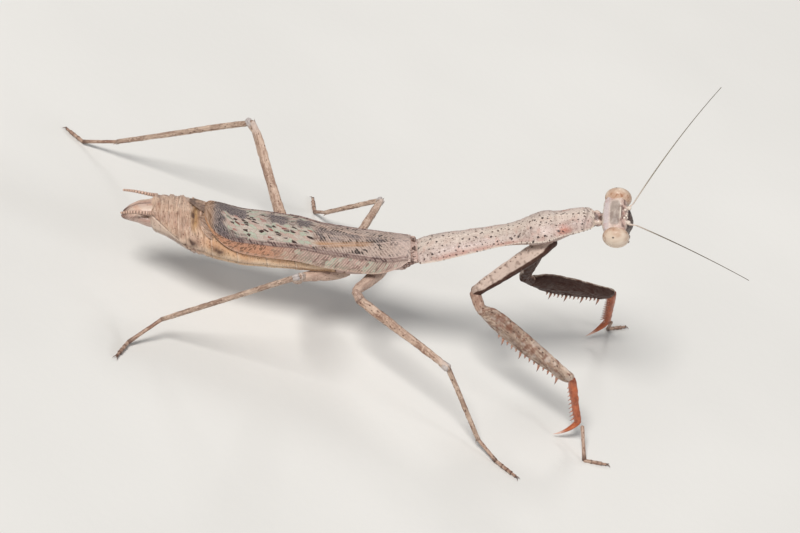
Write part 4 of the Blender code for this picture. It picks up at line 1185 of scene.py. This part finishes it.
def add_bead(skin, at, size):
    """A polished pale bead, set halfway into the head."""
    ball = ball_grid(26, 32)
    # Painted shade on each bead's underside, and a painted highlight on its top.
    dark = 0.6 * rise(-ball[..., 2], 0.1, 0.8)
    skin.add(at + size * ball, caps=(False, False), tint=(1 - dark, dark, 0.2),
             field=(0.0, 0.0, 1.0))


def make_head(material):
    """The head capsule: crown, brow ridge, three small eyes, sockets and face shield."""
    level = np.linspace(HEAD[0][0], HEAD[-1][0] + 0.12, 260)
    turn = around(260)
    half, front, rear = smooth(HEAD, level).T
    full = capped(level, 0.25, 0.45)
    squared = 1 - 0.5 * rise(level, -1.2, 0.2)[:, None]
    wide = np.sign(np.cos(turn)) * np.abs(np.cos(turn)) ** (0.4 + 0.6 * squared)
    deep = np.sign(np.sin(turn)) * np.abs(np.sin(turn)) ** squared
    deep = np.where(deep > 0, (front * full)[:, None], (rear * full)[:, None]) * deep
    grid = np.stack((deep, (half * full)[:, None] * wide, spread(level, len(turn))),
                    axis=-1)
    x, y, z = grid[..., 0], grid[..., 1], grid[..., 2]
    side = np.abs(y)
    above = rise(z, 0.2, 0.7)
    pinch = 0.10 * bell(side, 0.35)
    corner = np.hypot(np.clip(np.abs(x + 0.02) - 0.16, 0, None) / 0.42,
                      np.clip(side - 0.8, 0, None) / 0.66)
    crown = (1 - rise(corner + pinch, 0.75, 1.15)) * above
    lobes = crown * bell(side - 0.72, 0.38)
    band = rise(-x, 0.3, 0.9) * above * (1 - 0.5 * crown)
    brow = bell(x - 0.55, 0.07) * (1 - rise(side, 0.5, 0.8)) * above
    sockets = bell(x - 1.04, 0.2) * bell(side - 0.82, 0.17) * bell(z - 0.5, 0.26)
    middle = bell(x - 0.93, 0.13) * bell(side, 0.12) * bell(z - 0.62, 0.2)
    pair = bell(x - 0.74, 0.12) * bell(side - 0.30, 0.10) * bell(z - 0.88, 0.2)
    trench = bell(x - 0.66, 0.09) * (1 - rise(side, 0.7, 1.1)) * above
    shield = bell(z + 0.25, 0.06) * bell(side, 0.9) * (x > 0.6)
    clypeus = bell(z + 1.35, 0.05) * (x > 0.4)
    rim = bell(np.hypot((x - EYE_AT[0]) / 1.48, (z - EYE_AT[2]) / 1.66) - 1, 0.06) * (side > 1.2)
    amount = (-0.05 * crown - 0.05 * lobes + 0.11 * brow + 0.26 * sockets + 0.2 * middle
              + 0.2 * pair - 0.06 * trench - 0.06 * shield - 0.08 * clypeus + 0.03 * rim
              + 0.03 * noise(grid, 0.3, 41))
    grid = push(grid, amount * full[:, None])
    glossy = np.clip(0.9 * brow + sockets + middle + pair, 0, 1)
    hem = facing(grid, (-1.0, 0.0, 0.1), 0.75, 0.95) * rise(z, -0.6, 0.4)
    pale = np.clip(glossy + 0.8 * hem, 0, 1)
    blot = bell(x - 0.85, 0.2) * above * rise(noise(grid, 0.28, 45), -0.1, 0.4) * (1 - brow)
    # face: the front below the sockets and the lower head are darkened, partly their own brown and
    # partly painted shade.
    face = rise(x, 0.55, 0.95) * rise(-z, -0.32, 0.05) + rise(-z, 0.5, 1.4) * (x > -0.2)
    dark = np.clip(0.14 * lobes + 0.35 * trench + 0.65 * blot + 0.95 * face + 0.3 * shield
                   + 0.5 * clypeus, 0, 0.95) * (1 - glossy)
    warm = np.clip(0.3 * rim + 0.4 * bell(x - 0.85, 0.22) * above * (1 - brow), 0, 1)
    skin = Skin()
    skin.add(placed(grid, SKULL), tint=(pale * (1 - dark), dark, warm * (1 - pale)),
             field=(0.8 * band * (1 - pale), 0.85 * crown, glossy))
    for across, up, size in HEAD_BEADS:
        off = np.abs(y - across) + np.abs(z - up) + 9 * (x < 0.2)
        at = grid.reshape(-1, 3)[np.argmin(off)]
        add_bead(skin, placed(at, SKULL), size)
    skin.piece("head_capsule", material, ["head"])


def make_mouth(material):
    """Upper lip with the jaws beside it, and the two palps."""
    level = np.linspace(LABRUM[0][0], LABRUM[-1][0] + 0.3, 80)
    turn = around(64)
    half, front, rear = smooth(LABRUM, level).T
    full = capped(level, 0.3, 0.0)
    across, deep = section(half * full, front * full, rear * full, turn)
    grid = np.stack((deep, across, spread(level, len(turn))), axis=-1)
    groove = bell(grid[..., 2] + 3.35, 0.06)
    grid = push(grid, 0.03 * noise(grid, 0.4, 44) - 0.06 * groove)
    skin = Skin()
    # The upper lip is dark, partly its own brown and partly painted shade.
    skin.add(placed(grid, SKULL), tint=(0.0, np.clip(0.75 + 0.2 * groove, 0, 1), 0.3))
    for side in (1, -1):
        path = placed([(0.35, 0.85 * side, -2.5), (0.45, 0.82 * side, -3.1),
                       (0.5, 0.6 * side, -3.7), (0.5, 0.25 * side, -4.05)], SKULL)
        share = np.linspace(0, 1, 40)
        rows = [(i / 3, *point) for i, point in enumerate(path)]
        thick = (0.42 - 0.26 * share) * ended(share, 1.8, 0, 0.2)
        skin.add(tube(smooth(rows, share), np.stack((thick, thick * 0.9), 1),
                      turned((1, 0, 0), SKULL), 20),
                 tint=(0.0, spread(rise(share, 0.2, 0.8), 20) * 0.8, 0.3))
    skin.piece("upper_lip_and_jaws", material, ["labrum"])
    for side, name in SIDES:
        share = np.linspace(0, 1, 90)
        rows = [(i / 2, *placed((x, y * side, z), SKULL)) for i, (x, y, z) in enumerate(PALP)]
        bead = beaded(share, PALP_BEADS, 0.4)
        thick = (0.22 - 0.07 * share) * (0.7 + 0.3 * bead) * ended(share, 1.4, 0, 0.15)
        grid = round_tube(smooth(rows, share), thick, (0.3, 0.2, 1), 16)
        skin = Skin()
        skin.add(grid, tint=(0.2, spread(0.45 + 0.4 * (1 - bead), grid.shape[1]), 0.2))
        skin.piece(f"palp_{name}_beads", material, [f"palp_{name}"])


def make_eye(side, name, material):
    """A compound eye, a little flattened towards the face."""
    ball = ball_grid(110, 140)
    grid = ball * EYE_SIZE + np.array((EYE_AT[0], EYE_AT[1] * side, EYE_AT[2]))
    x, y, z = ball[..., 0], ball[..., 1] * side, ball[..., 2]
    pupil = bell(np.linalg.norm(ball - unit((-0.02, 0.60 * side, 0.76)), axis=-1), 0.065)
    rim = rise(-y, -0.1, 0.3) * rise(z, -0.2, 0.4)
    rear = rise(-x, 0.5, 0.8) * rise(z, -0.3, 0.3)
    pale = 0.5 * bell(y - 0.85, 0.25)
    skin = Skin()
    skin.add(placed(grid, SKULL), caps=(False, False),
             tint=(pale, np.clip(1.6 * pupil, 0, 1), 0.35 * rise(-y, -0.2, 0.4)),
             field=(np.clip(rim + 0.7 * rear, 0, 1), 0.0, 0.0))
    skin.piece(f"eye_{name}_ball", material, [f"eye_{name}"])


def make_antenna(side, name, material):
    """A feeler: a thick first joint and a long ringed whip that tapers."""
    root = placed((ANTENNA_ROOT[0] - 0.35, ANTENNA_ROOT[1] * side, ANTENNA_ROOT[2]), SKULL)
    start = placed((ANTENNA_ROOT[0], ANTENNA_ROOT[1] * side, ANTENNA_ROOT[2]), SKULL)
    scape, reach, bow = (turned(run, BODY) for run in ANTENNAE[name])
    base = start + scape
    share = np.linspace(0, 1, 40)
    thick = (0.14 - 0.09 * share) * ended(share, 1.0, 0.15, 0.05)
    skin = Skin()
    grid = round_tube(root + (base - root) * share[:, None], thick, (0.1, 0.2, 1), 20)
    skin.add(grid, tint=(0.9, 0.0, 0.1))
    share = np.linspace(0, 1, 700)
    path = base + reach * share[:, None] + bow * (4 * share * (1 - share))[:, None]
    bead = beaded(share, ANTENNA_BEADS, 0.5)
    thick = (0.035 + 0.045 * (1 - share) ** 1.5) * (0.82 + 0.18 * bead)
    grid = round_tube(path, thick, (0.1, 0.2, 1), 10)
    pale = spread(0.7 * (1 - rise(share, 0.0, 0.25)), grid.shape[1])
    # Painted shade: the right feeler darkens sooner along its length than the left.
    start = -0.1 if side < 0 else 0.3
    dark = np.clip(0.6 * rise(share, start, start + 0.6) + 0.3 * (1 - bead), 0, 0.9)
    dark = spread(dark, grid.shape[1])
    skin.add(grid, tint=(pale, dark, 0.0))
    skin.piece(f"antenna_{name}_whip", material, [f"antenna_{name}"])


# ---------------------------------------------------------------- legs

def leg_joints(leg):
    """The joints of a leg, from its root to the tip of its toes."""
    pose, lengths = POSES[leg], LENGTHS[leg.split("_")[0]]
    joints = [placed(pose["at"], BODY)]
    for part in ("coxa", "trochanter", "femur"):
        joints.append(joints[-1] + lengths[part] * heading(*pose[part]))
    for part in ("tibia", "basitarsus"):
        azimuth, level = pose[part]
        drop = math.degrees(math.asin((level - joints[-1][2]) / lengths[part]))
        joints.append(joints[-1] + lengths[part] * heading(azimuth, drop))
    drop = math.degrees(math.asin((TOE_LEVEL - joints[-1][2]) / lengths["toes"]))
    joints.append(joints[-1] + lengths["toes"] * heading(pose["toes"], drop))
    return joints


def ridged(grid, share, seed, depth=0.05, ribs=0.03):
    """Give a limb's rings four faint ridges and a grain."""
    turn = around(grid.shape[1])
    full = rise(share, 0.02, 0.1) * (1 - rise(share, 0.9, 0.98))
    amount = full[:, None] * ribs * np.cos(4 * turn) + depth * noise(grid, 0.5, seed)
    return push(grid, amount)


def add_spike(skin, base, point, radius, tint, curve=(0.0, 0.0, 0.0)):
    """A spine whose tip is darker."""
    grid = spike(base, point, radius, curve, 12, 9)
    tip = spread(rise(np.linspace(0, 1, len(grid)), 0.45, 0.85), grid.shape[1])
    skin.add(grid, tint=(tint[0] * (1 - tip), np.maximum(tint[1], 0.75 * tip), tint[2]))


def add_tarsus(skin, joints):
    """A foot of five joints, each widening to its end, and two hooked claws."""
    ankle, ball, tip = joints
    heel = ball + 0.12 * (tip - ball)
    toes = tip - heel
    stops = [ankle, ball, ball + toes * 0.3, ball + toes * 0.52, ball + toes * 0.7,
             ball + toes * 0.9]
    for i, (start, end) in enumerate(zip(stops, stops[1:])):
        first, last = (0.20, 0.25) if i < 4 else (0.14, 0.18)
        rows = ((0.0, first, first, first), (0.7, first + 0.01, first, first),
                (1.0, last, last * 0.9, last))
        grid, share = limb(start, end, rows, (0.02, 0.01, 1.0), (0.1, 0.06), (0.12, 0.12), 40, 20)
        grid = push(grid, 0.015 * noise(grid, 0.25, 60 + i))
        grid[..., 2] = np.maximum(grid[..., 2], 0.005)
        dark = spread(0.15 + 0.6 * rise(share, 0.7, 1.0), grid.shape[1])
        skin.add(grid, tint=(0.0, dark, 0.15))
    along = unit(toes)
    aside = np.cross((0, 0, 1), along)
    for way in (1, -1):
        base = stops[-1] + 0.05 * along
        point = base + 0.45 * along + 0.3 * way * aside
        point[2] = 0.06
        skin.add(spike(base, point, 0.075, (0, 0, 0.12)), tint=(0.0, 0.7, 0.2))


def make_walking_leg(leg, material):
    """A slender middle or hind leg in one skin, from the hip to the claws."""
    hip, socket, root, knee, ankle, ball, tip = leg_joints(leg)
    bend = unit(knee - root) - unit(ankle - knee)
    inner = 0.8 * unit(hip - socket)
    hind = leg.startswith("hind")
    skin = Skin()
    grid, share = limb(hip + inner, socket, COXA, bend, (0.0, 0.25), (0.0, 0.4), 80, 40)
    skin.add(ridged(grid, share, 51), tint=(0.25, 0.0, 0.15))
    grid, share = limb(socket, root, TROCHANTER, bend, (0.25, 0.3), (0.3, 0.4), 50, 40)
    grid = push(grid, 0.04 * noise(grid, 0.5, 52))
    skin.add(grid, tint=(0.2, spread(0.5 * bell(share - 0.95, 0.12), grid.shape[1]), 0.1))
    rows = FEMUR_HIND if hind else FEMUR_MID
    grid, share = limb(root, knee, rows, bend, (0.3, 0.16), (0.35, 0.3), 220, 40)
    grid = ridged(grid, share, 53)
    pale = spread(0.8 * rise(share, 0.86, 0.97), grid.shape[1])
    skin.add(grid, tint=(pale, 0.0, 0.1))
    add_knee(skin, root, knee, bend, 0.5 if hind else 0.0)
    grid, share = limb(knee, ankle, TIBIA, bend, (0.14, 0.12), (0.2, 0.18), 240, 32)
    grid = ridged(grid, share, 54, 0.03, 0.015)
    dark = spread(0.5 * bell(share - 0.03, 0.02) + 0.4 * rise(share, 0.95, 1.0), grid.shape[1])
    skin.add(grid, tint=(0.0, dark, 0.05))
    add_tibia_hairs(skin, knee, ankle, bend)
    add_tarsus(skin, (ankle, ball, tip))
    names = [f"{leg}_{part}" for part in ("coxa", "femur", "tibia", "tarsus")]
    skin.piece(f"{leg}_leg", material, names)


def add_knee(skin, root, knee, bend, drop):
    """Two lobes that clasp the start of the tibia, and a small spine over them."""
    along, side, out = limb_axes(root, knee, bend)
    apart = 0.26 - 0.28 * drop
    for way in (1, -1):
        start = knee - 1.2 * along + 0.2 * way * side
        end = knee + (0.18 + drop) * along + apart * way * side - (0.05 + 1.1 * drop) * out
        rows = ((0.0, 0.12, 0.2, 0.3), (0.6, 0.2, 0.3, 0.4), (1.0, 0.2, 0.4, 0.4))
        grid, share = limb(start, end, rows, out, (0.0, 0.0), (0.3, 0.3), 36, 20)
        # white: the lobes' grey-white tips, partly their own pale colour and partly a painted
        # highlight.
        white = rise(share, 0.3, 0.65)[:, None]
        skin.add(grid, tint=(0.4 * white, 0.0, 0.0), field=(white, 0.0, 0.0))
    base = knee - 0.1 * along + 0.2 * out
    skin.add(spike(base, base + 0.4 * along + 0.1 * out, 0.09), tint=(0.3, 0.4, 0.0))


def add_tibia_hairs(skin, knee, ankle, bend):
    """Short stiff hairs in two rows along a tibia, and two spurs at its end."""
    along, side, out = limb_axes(knee, ankle, bend)
    length = np.linalg.norm(ankle - knee)
    for i in range(int(length / HAIR_SPACING)):
        way = 1 if i % 2 else -1
        base = knee + along * (HAIR_SPACING + HAIR_SPACING * i) - 0.2 * out + 0.1 * way * side
        tip = base + 0.16 * along - 0.14 * out + 0.07 * way * side
        skin.add(spike(base, tip, 0.035, rings=5, sides=5), tint=(0.0, 0.5, 0.1))
    for way in (1, -1):
        base = ankle - 0.1 * along - 0.12 * out + 0.12 * way * side
        skin.add(spike(base, base + 0.5 * along - 0.2 * out + 0.15 * way * side, 0.075),
                 tint=(0.2, 0.2, 0.0))


def make_fore_leg(leg, leg_paint, grasping):
    """The grasping leg: long toothed coxa, spined femur, spined tibia with a claw, and thin foot."""
    hip, socket, root, knee, ankle, ball, tip = leg_joints(leg)
    bend = unit(knee - root) - unit(ankle - knee)
    make_fore_coxa(leg, hip, socket, bend, leg_paint)
    make_fore_femur(leg, socket, root, knee, bend, leg_paint)
    make_fore_tibia(leg, knee, ankle, bend, grasping)
    foot = ankle + 0.62 * unit(knee - root)
    skin = Skin()
    add_tarsus(skin, (foot, ball + 0.3 * unit(ball - foot), tip))
    skin.piece(f"{leg}_foot", leg_paint, [f"{leg}_tarsus"])


def make_fore_coxa(leg, hip, socket, bend, material):
    """The long first joint, with a row of denticles along each of its three edges."""
    along, side, out = limb_axes(hip, socket, bend)
    skin = Skin()
    start = hip - FORE_HIP_RISE * along
    grid, share = limb(start, socket, COXA_FORE, bend, (0.35, 0.3), (0.4, 0.45), 260, 64)
    turn = around(grid.shape[1])
    square = 0.09 * np.cos(3 * (turn - math.pi / 2))
    full = rise(share, 0.03, 0.15) * (1 - rise(share, 0.85, 0.97))
    grid = push(grid, full[:, None] * square + 0.04 * noise(grid, 0.45, 71))
    # Painted shade: the right coxa's lower outer face is darkened; the inner faces of both coxae are
    # darkened too, partly their own dark brown and partly painted shade.
    if "left" in leg:
        shade = facing(grid, (0.5, -0.8, -0.2), -0.2, 0.2)
    else:
        shade = facing(grid, (0.79, -0.46, -0.40), -0.06, 0.1)
    shade = np.maximum(shade, facing(grid, (0.2, 1.0 if "right" in leg else -1.0, 0.0), 0.2, 0.5))
    blot = rise(noise(grid, 0.3, 76), 0.2, 0.6)
    dark = np.clip(0.95 * shade + 0.35 * rise(share, 0.9, 1.0)[:, None] + 0.3 * blot, 0, 0.96)
    skin.add(grid, tint=(0.75 * (1 - dark), dark, 0.1))
    length = np.linalg.norm(socket - start)
    for edge in (0.0, math.pi * 0.5, math.pi):
        for i in range(COXA_DENTICLES):
            share_at = 0.2 + 0.068 * i
            half, deep, _ = smooth(COXA_FORE, share_at)
            way = side * math.cos(edge) * half + out * math.sin(edge) * deep
            base = start + along * share_at * length + 0.96 * way
            size = 0.17 + 0.09 * (i % 3 == 0)
            skin.add(spike(base, base + size * unit(way) + 0.08 * along, 0.07, rings=6, sides=7),
                     tint=(0.1, 0.7, 0.2))
    skin.piece(f"{leg}_coxa_skin", material, [f"{leg}_coxa"])


def make_fore_femur(leg, socket, root, knee, bend, material):
    """Trochanter and deep femur: two rows of spines below, and a row of denticles on top."""
    along, side, out = limb_axes(root, knee, bend)
    skin = Skin()
    grid, share = limb(socket, root, TROCHANTER_FORE, bend, (0.3, 0.35), (0.4, 0.45), 60, 48)
    grid = push(grid, 0.04 * noise(grid, 0.4, 72))
    inward = -1.0 if "left" in leg else 1.0
    # shade: the inner side is darkened, partly its own dark brown and partly painted shade.
    shade = facing(grid, (0.0, inward, -0.15), 0.1, 0.5)
    skin.add(grid, tint=(0.1 * (1 - shade), 0.2 + 0.75 * shade, 0.2))
    grid, share = limb(root, knee, FEMUR_FORE, bend, (0.25, 0.2), (0.4, 0.4), 320, 72)
    turn = around(grid.shape[1])
    full = rise(share, 0.03, 0.12) * (1 - rise(share, 0.88, 0.97))
    groove = bell(np.abs((turn / math.pi - 1.5 + 1) % 2 - 1), 0.07)
    rib = 0.05 * np.cos(4 * turn + 0.6)
    amount = full[:, None] * (rib - 0.15 * groove) + 0.05 * noise(grid, 0.5, 73)
    grid = push(grid, amount)
    mottle = rise(0.7 * noise(grid, 0.6, 74) + 0.9 * noise(grid, 0.25, 77), 0.0, 0.6)
    # shade: the inner side is darkened, partly its own dark brown and partly painted shade.
    shade = facing(grid, (0.0, inward, -0.15), 0.1, 0.5)
    dark = np.clip(0.42 * mottle + 0.95 * shade, 0, 0.97)
    pale = 0.5 * rise(noise(grid, 0.35, 75), 0.0, 0.5)
    dark = np.maximum(dark, 0.25 * rise(noise(grid, 1.6, 78), -0.3, 0.3))
    skin.add(grid, tint=(pale * (1 - dark), dark, 0.25 * mottle))
    length = np.linalg.norm(knee - root)
    for way in (1, -1):
        for i in range(FEMUR_SPINES):
            at = 0.27 + 0.048 * i
            half, _, deep = smooth(FEMUR_FORE, at)
            base = root + along * at * length - 0.92 * deep * out + 0.45 * way * half * side
            long = 0.95 if i % 4 == 1 else 0.42 + 0.1 * (i % 2)
            point = base - long * out + 0.2 * long * way * side + 0.25 * long * along
            add_spike(skin, base, point, 0.10 + 0.06 * long, (0.3, 0.0, 0.5), 0.05 * along)
    for i in range(FEMUR_DENTICLES):
        at = 0.12 + 0.05 * i
        _, deep, _ = smooth(FEMUR_FORE, at)
        base = root + along * at * length + 0.97 * deep * out
        skin.add(spike(base, base + 0.07 * out + 0.05 * along, 0.05, rings=4, sides=6),
                 tint=(0.0, 0.9, 0.0))
    skin.piece(f"{leg}_femur_skin", material, [f"{leg}_trochanter", f"{leg}_femur"])


def make_fore_tibia(leg, knee, ankle, bend, material):
    """The tibia at the femur's end: two rows of leaning spines and a long claw."""
    claw_tip = ankle + CLAW_LENGTH * heading(*CLAW_HEADINGS[leg])
    along, side, out = limb_axes(knee, ankle, bend)
    skin = Skin()
    grid, share = limb(knee, ankle, TIBIA_FORE, bend, (0.18, 0.15), (0.25, 0.3), 160, 44)
    grid = ridged(grid, share, 81)
    skin.add(grid, tint=(0.0, spread(0.5 * bell(share, 0.06), grid.shape[1]), 0.2))
    t = np.linspace(0, 1, 70)[:, None]
    sag = 0.35 * unit(along - unit(claw_tip - ankle) * (along @ unit(claw_tip - ankle)))
    path = ankle - 0.1 * along + (claw_tip - ankle + 0.1 * along) * t + sag * 4 * t * (1 - t)
    thick = 0.36 * np.maximum(1 - t ** 1.6, 0.03)
    pale = spread(0.85 * rise(t[:, 0], 0.45, 0.8), 28)
    skin.add(tube(path, np.hstack((thick * 0.8, thick)), bend, 28), tint=(pale, 0.0, 0.3))
    length = np.linalg.norm(ankle - knee)
    for way, count in TIBIA_SPINES:
        for i in range(count):
            at = 0.14 + 0.8 * (i + 0.5) / count
            base = knee + along * at * length - 0.36 * out + 0.2 * way * side
            long = 0.32 + 0.3 * i / count
            point = base - 0.75 * long * out + 0.15 * way * side + 0.65 * long * along
            add_spike(skin, base, point, 0.085, (0.3, 0.0, 0.3))
    skin.piece(f"{leg}_tibia_skin", material, [f"{leg}_tibia"])


# ---------------------------------------------------------------- scene

def make_floor(material):
    """A wide pale floor, level with the feet."""
    mesh = bpy.data.meshes.new("floor")
    corners = [(x * FLOOR_REACH, y * FLOOR_REACH, 0) for x, y in ((-1, -1), (1, -1), (1, 1), (-1, 1))]
    mesh.from_pydata(corners, [], [(0, 1, 2, 3)])
    mesh.materials.append(material)
    floor = bpy.data.objects.new("floor", mesh)
    bpy.context.scene.collection.objects.link(floor)


def make_camera():
    """The view from the mantis's right side, rear and above."""
    back = unit(TO_CAMERA)
    right = np.array(CAMERA_RIGHT) - (np.array(CAMERA_RIGHT) @ back) * back
    right = unit(right)
    up = np.cross(back, right)
    aim = np.array(BODY_AT) + AIM_SHIFT[0] * right + AIM_SHIFT[1] * up
    at = (aim + CAMERA_DISTANCE * back) * MM
    lens = bpy.data.cameras.new("camera")
    lens.lens = LENS
    lens.clip_start = 0.01
    camera = bpy.data.objects.new("camera", lens)
    turn = Matrix((right, up, back)).transposed().to_4x4()
    camera.matrix_world = Matrix.Translation(Vector(at)) @ turn
    bpy.context.scene.collection.objects.link(camera)
    bpy.context.scene.camera = camera


def add_light(name, at, strength, tone):
    """A broad even light that shines from this side."""
    lamp = bpy.data.lights.new(name, "SUN")
    lamp.angle = SOFTNESS
    lamp.energy = strength
    lamp.color = tone
    light = bpy.data.objects.new(name, lamp)
    light.location = Vector(at) * MM
    light.rotation_euler = Vector(at).to_track_quat("Z", "Y").to_euler()
    bpy.context.scene.collection.objects.link(light)


def make_lights():
    """Soft key from the upper left behind the camera, a fill and a pale surround."""
    for name, settings in LIGHTS.items():
        add_light(name, *settings)
    world = bpy.data.worlds.new("studio")
    world.use_nodes = True
    sky = world.node_tree.nodes["Background"]
    sky.inputs["Color"].default_value = SKY_COLOUR
    sky.inputs["Strength"].default_value = SKY_STRENGTH
    bpy.context.scene.world = world
    bpy.context.scene.view_settings.view_transform = "Standard"


def main():
    """Make every piece, then the stage around them."""
    shield, cuticle = cuticle_material("shield", True), cuticle_material("cuticle", False)
    abdomen = abdomen_material()
    leg_paint = leg_material()
    grasping = grasping_material()
    make_pronotum(shield)
    make_prosternum(cuticle)
    make_neck(cuticle)
    make_pterothorax(cuticle)
    make_abdomen(abdomen)
    make_beak(tail_material())
    tegmen, membrane = tegmen_material(), membrane_material()
    eye, antenna = eye_material(), antenna_material()
    for side, name in SIDES:
        make_tegmen(side, name, tegmen)
        make_hindwing(side, name, membrane)
        make_eye(side, name, eye)
        make_antenna(side, name, antenna)
    make_head(head_material())
    make_mouth(cuticle)
    for leg in POSES:
        if leg.startswith("fore"):
            make_fore_leg(leg, leg_paint, grasping)
        else:
            make_walking_leg(leg, leg_paint)
    make_floor(floor_material())
    make_lights()
    make_camera()


main()
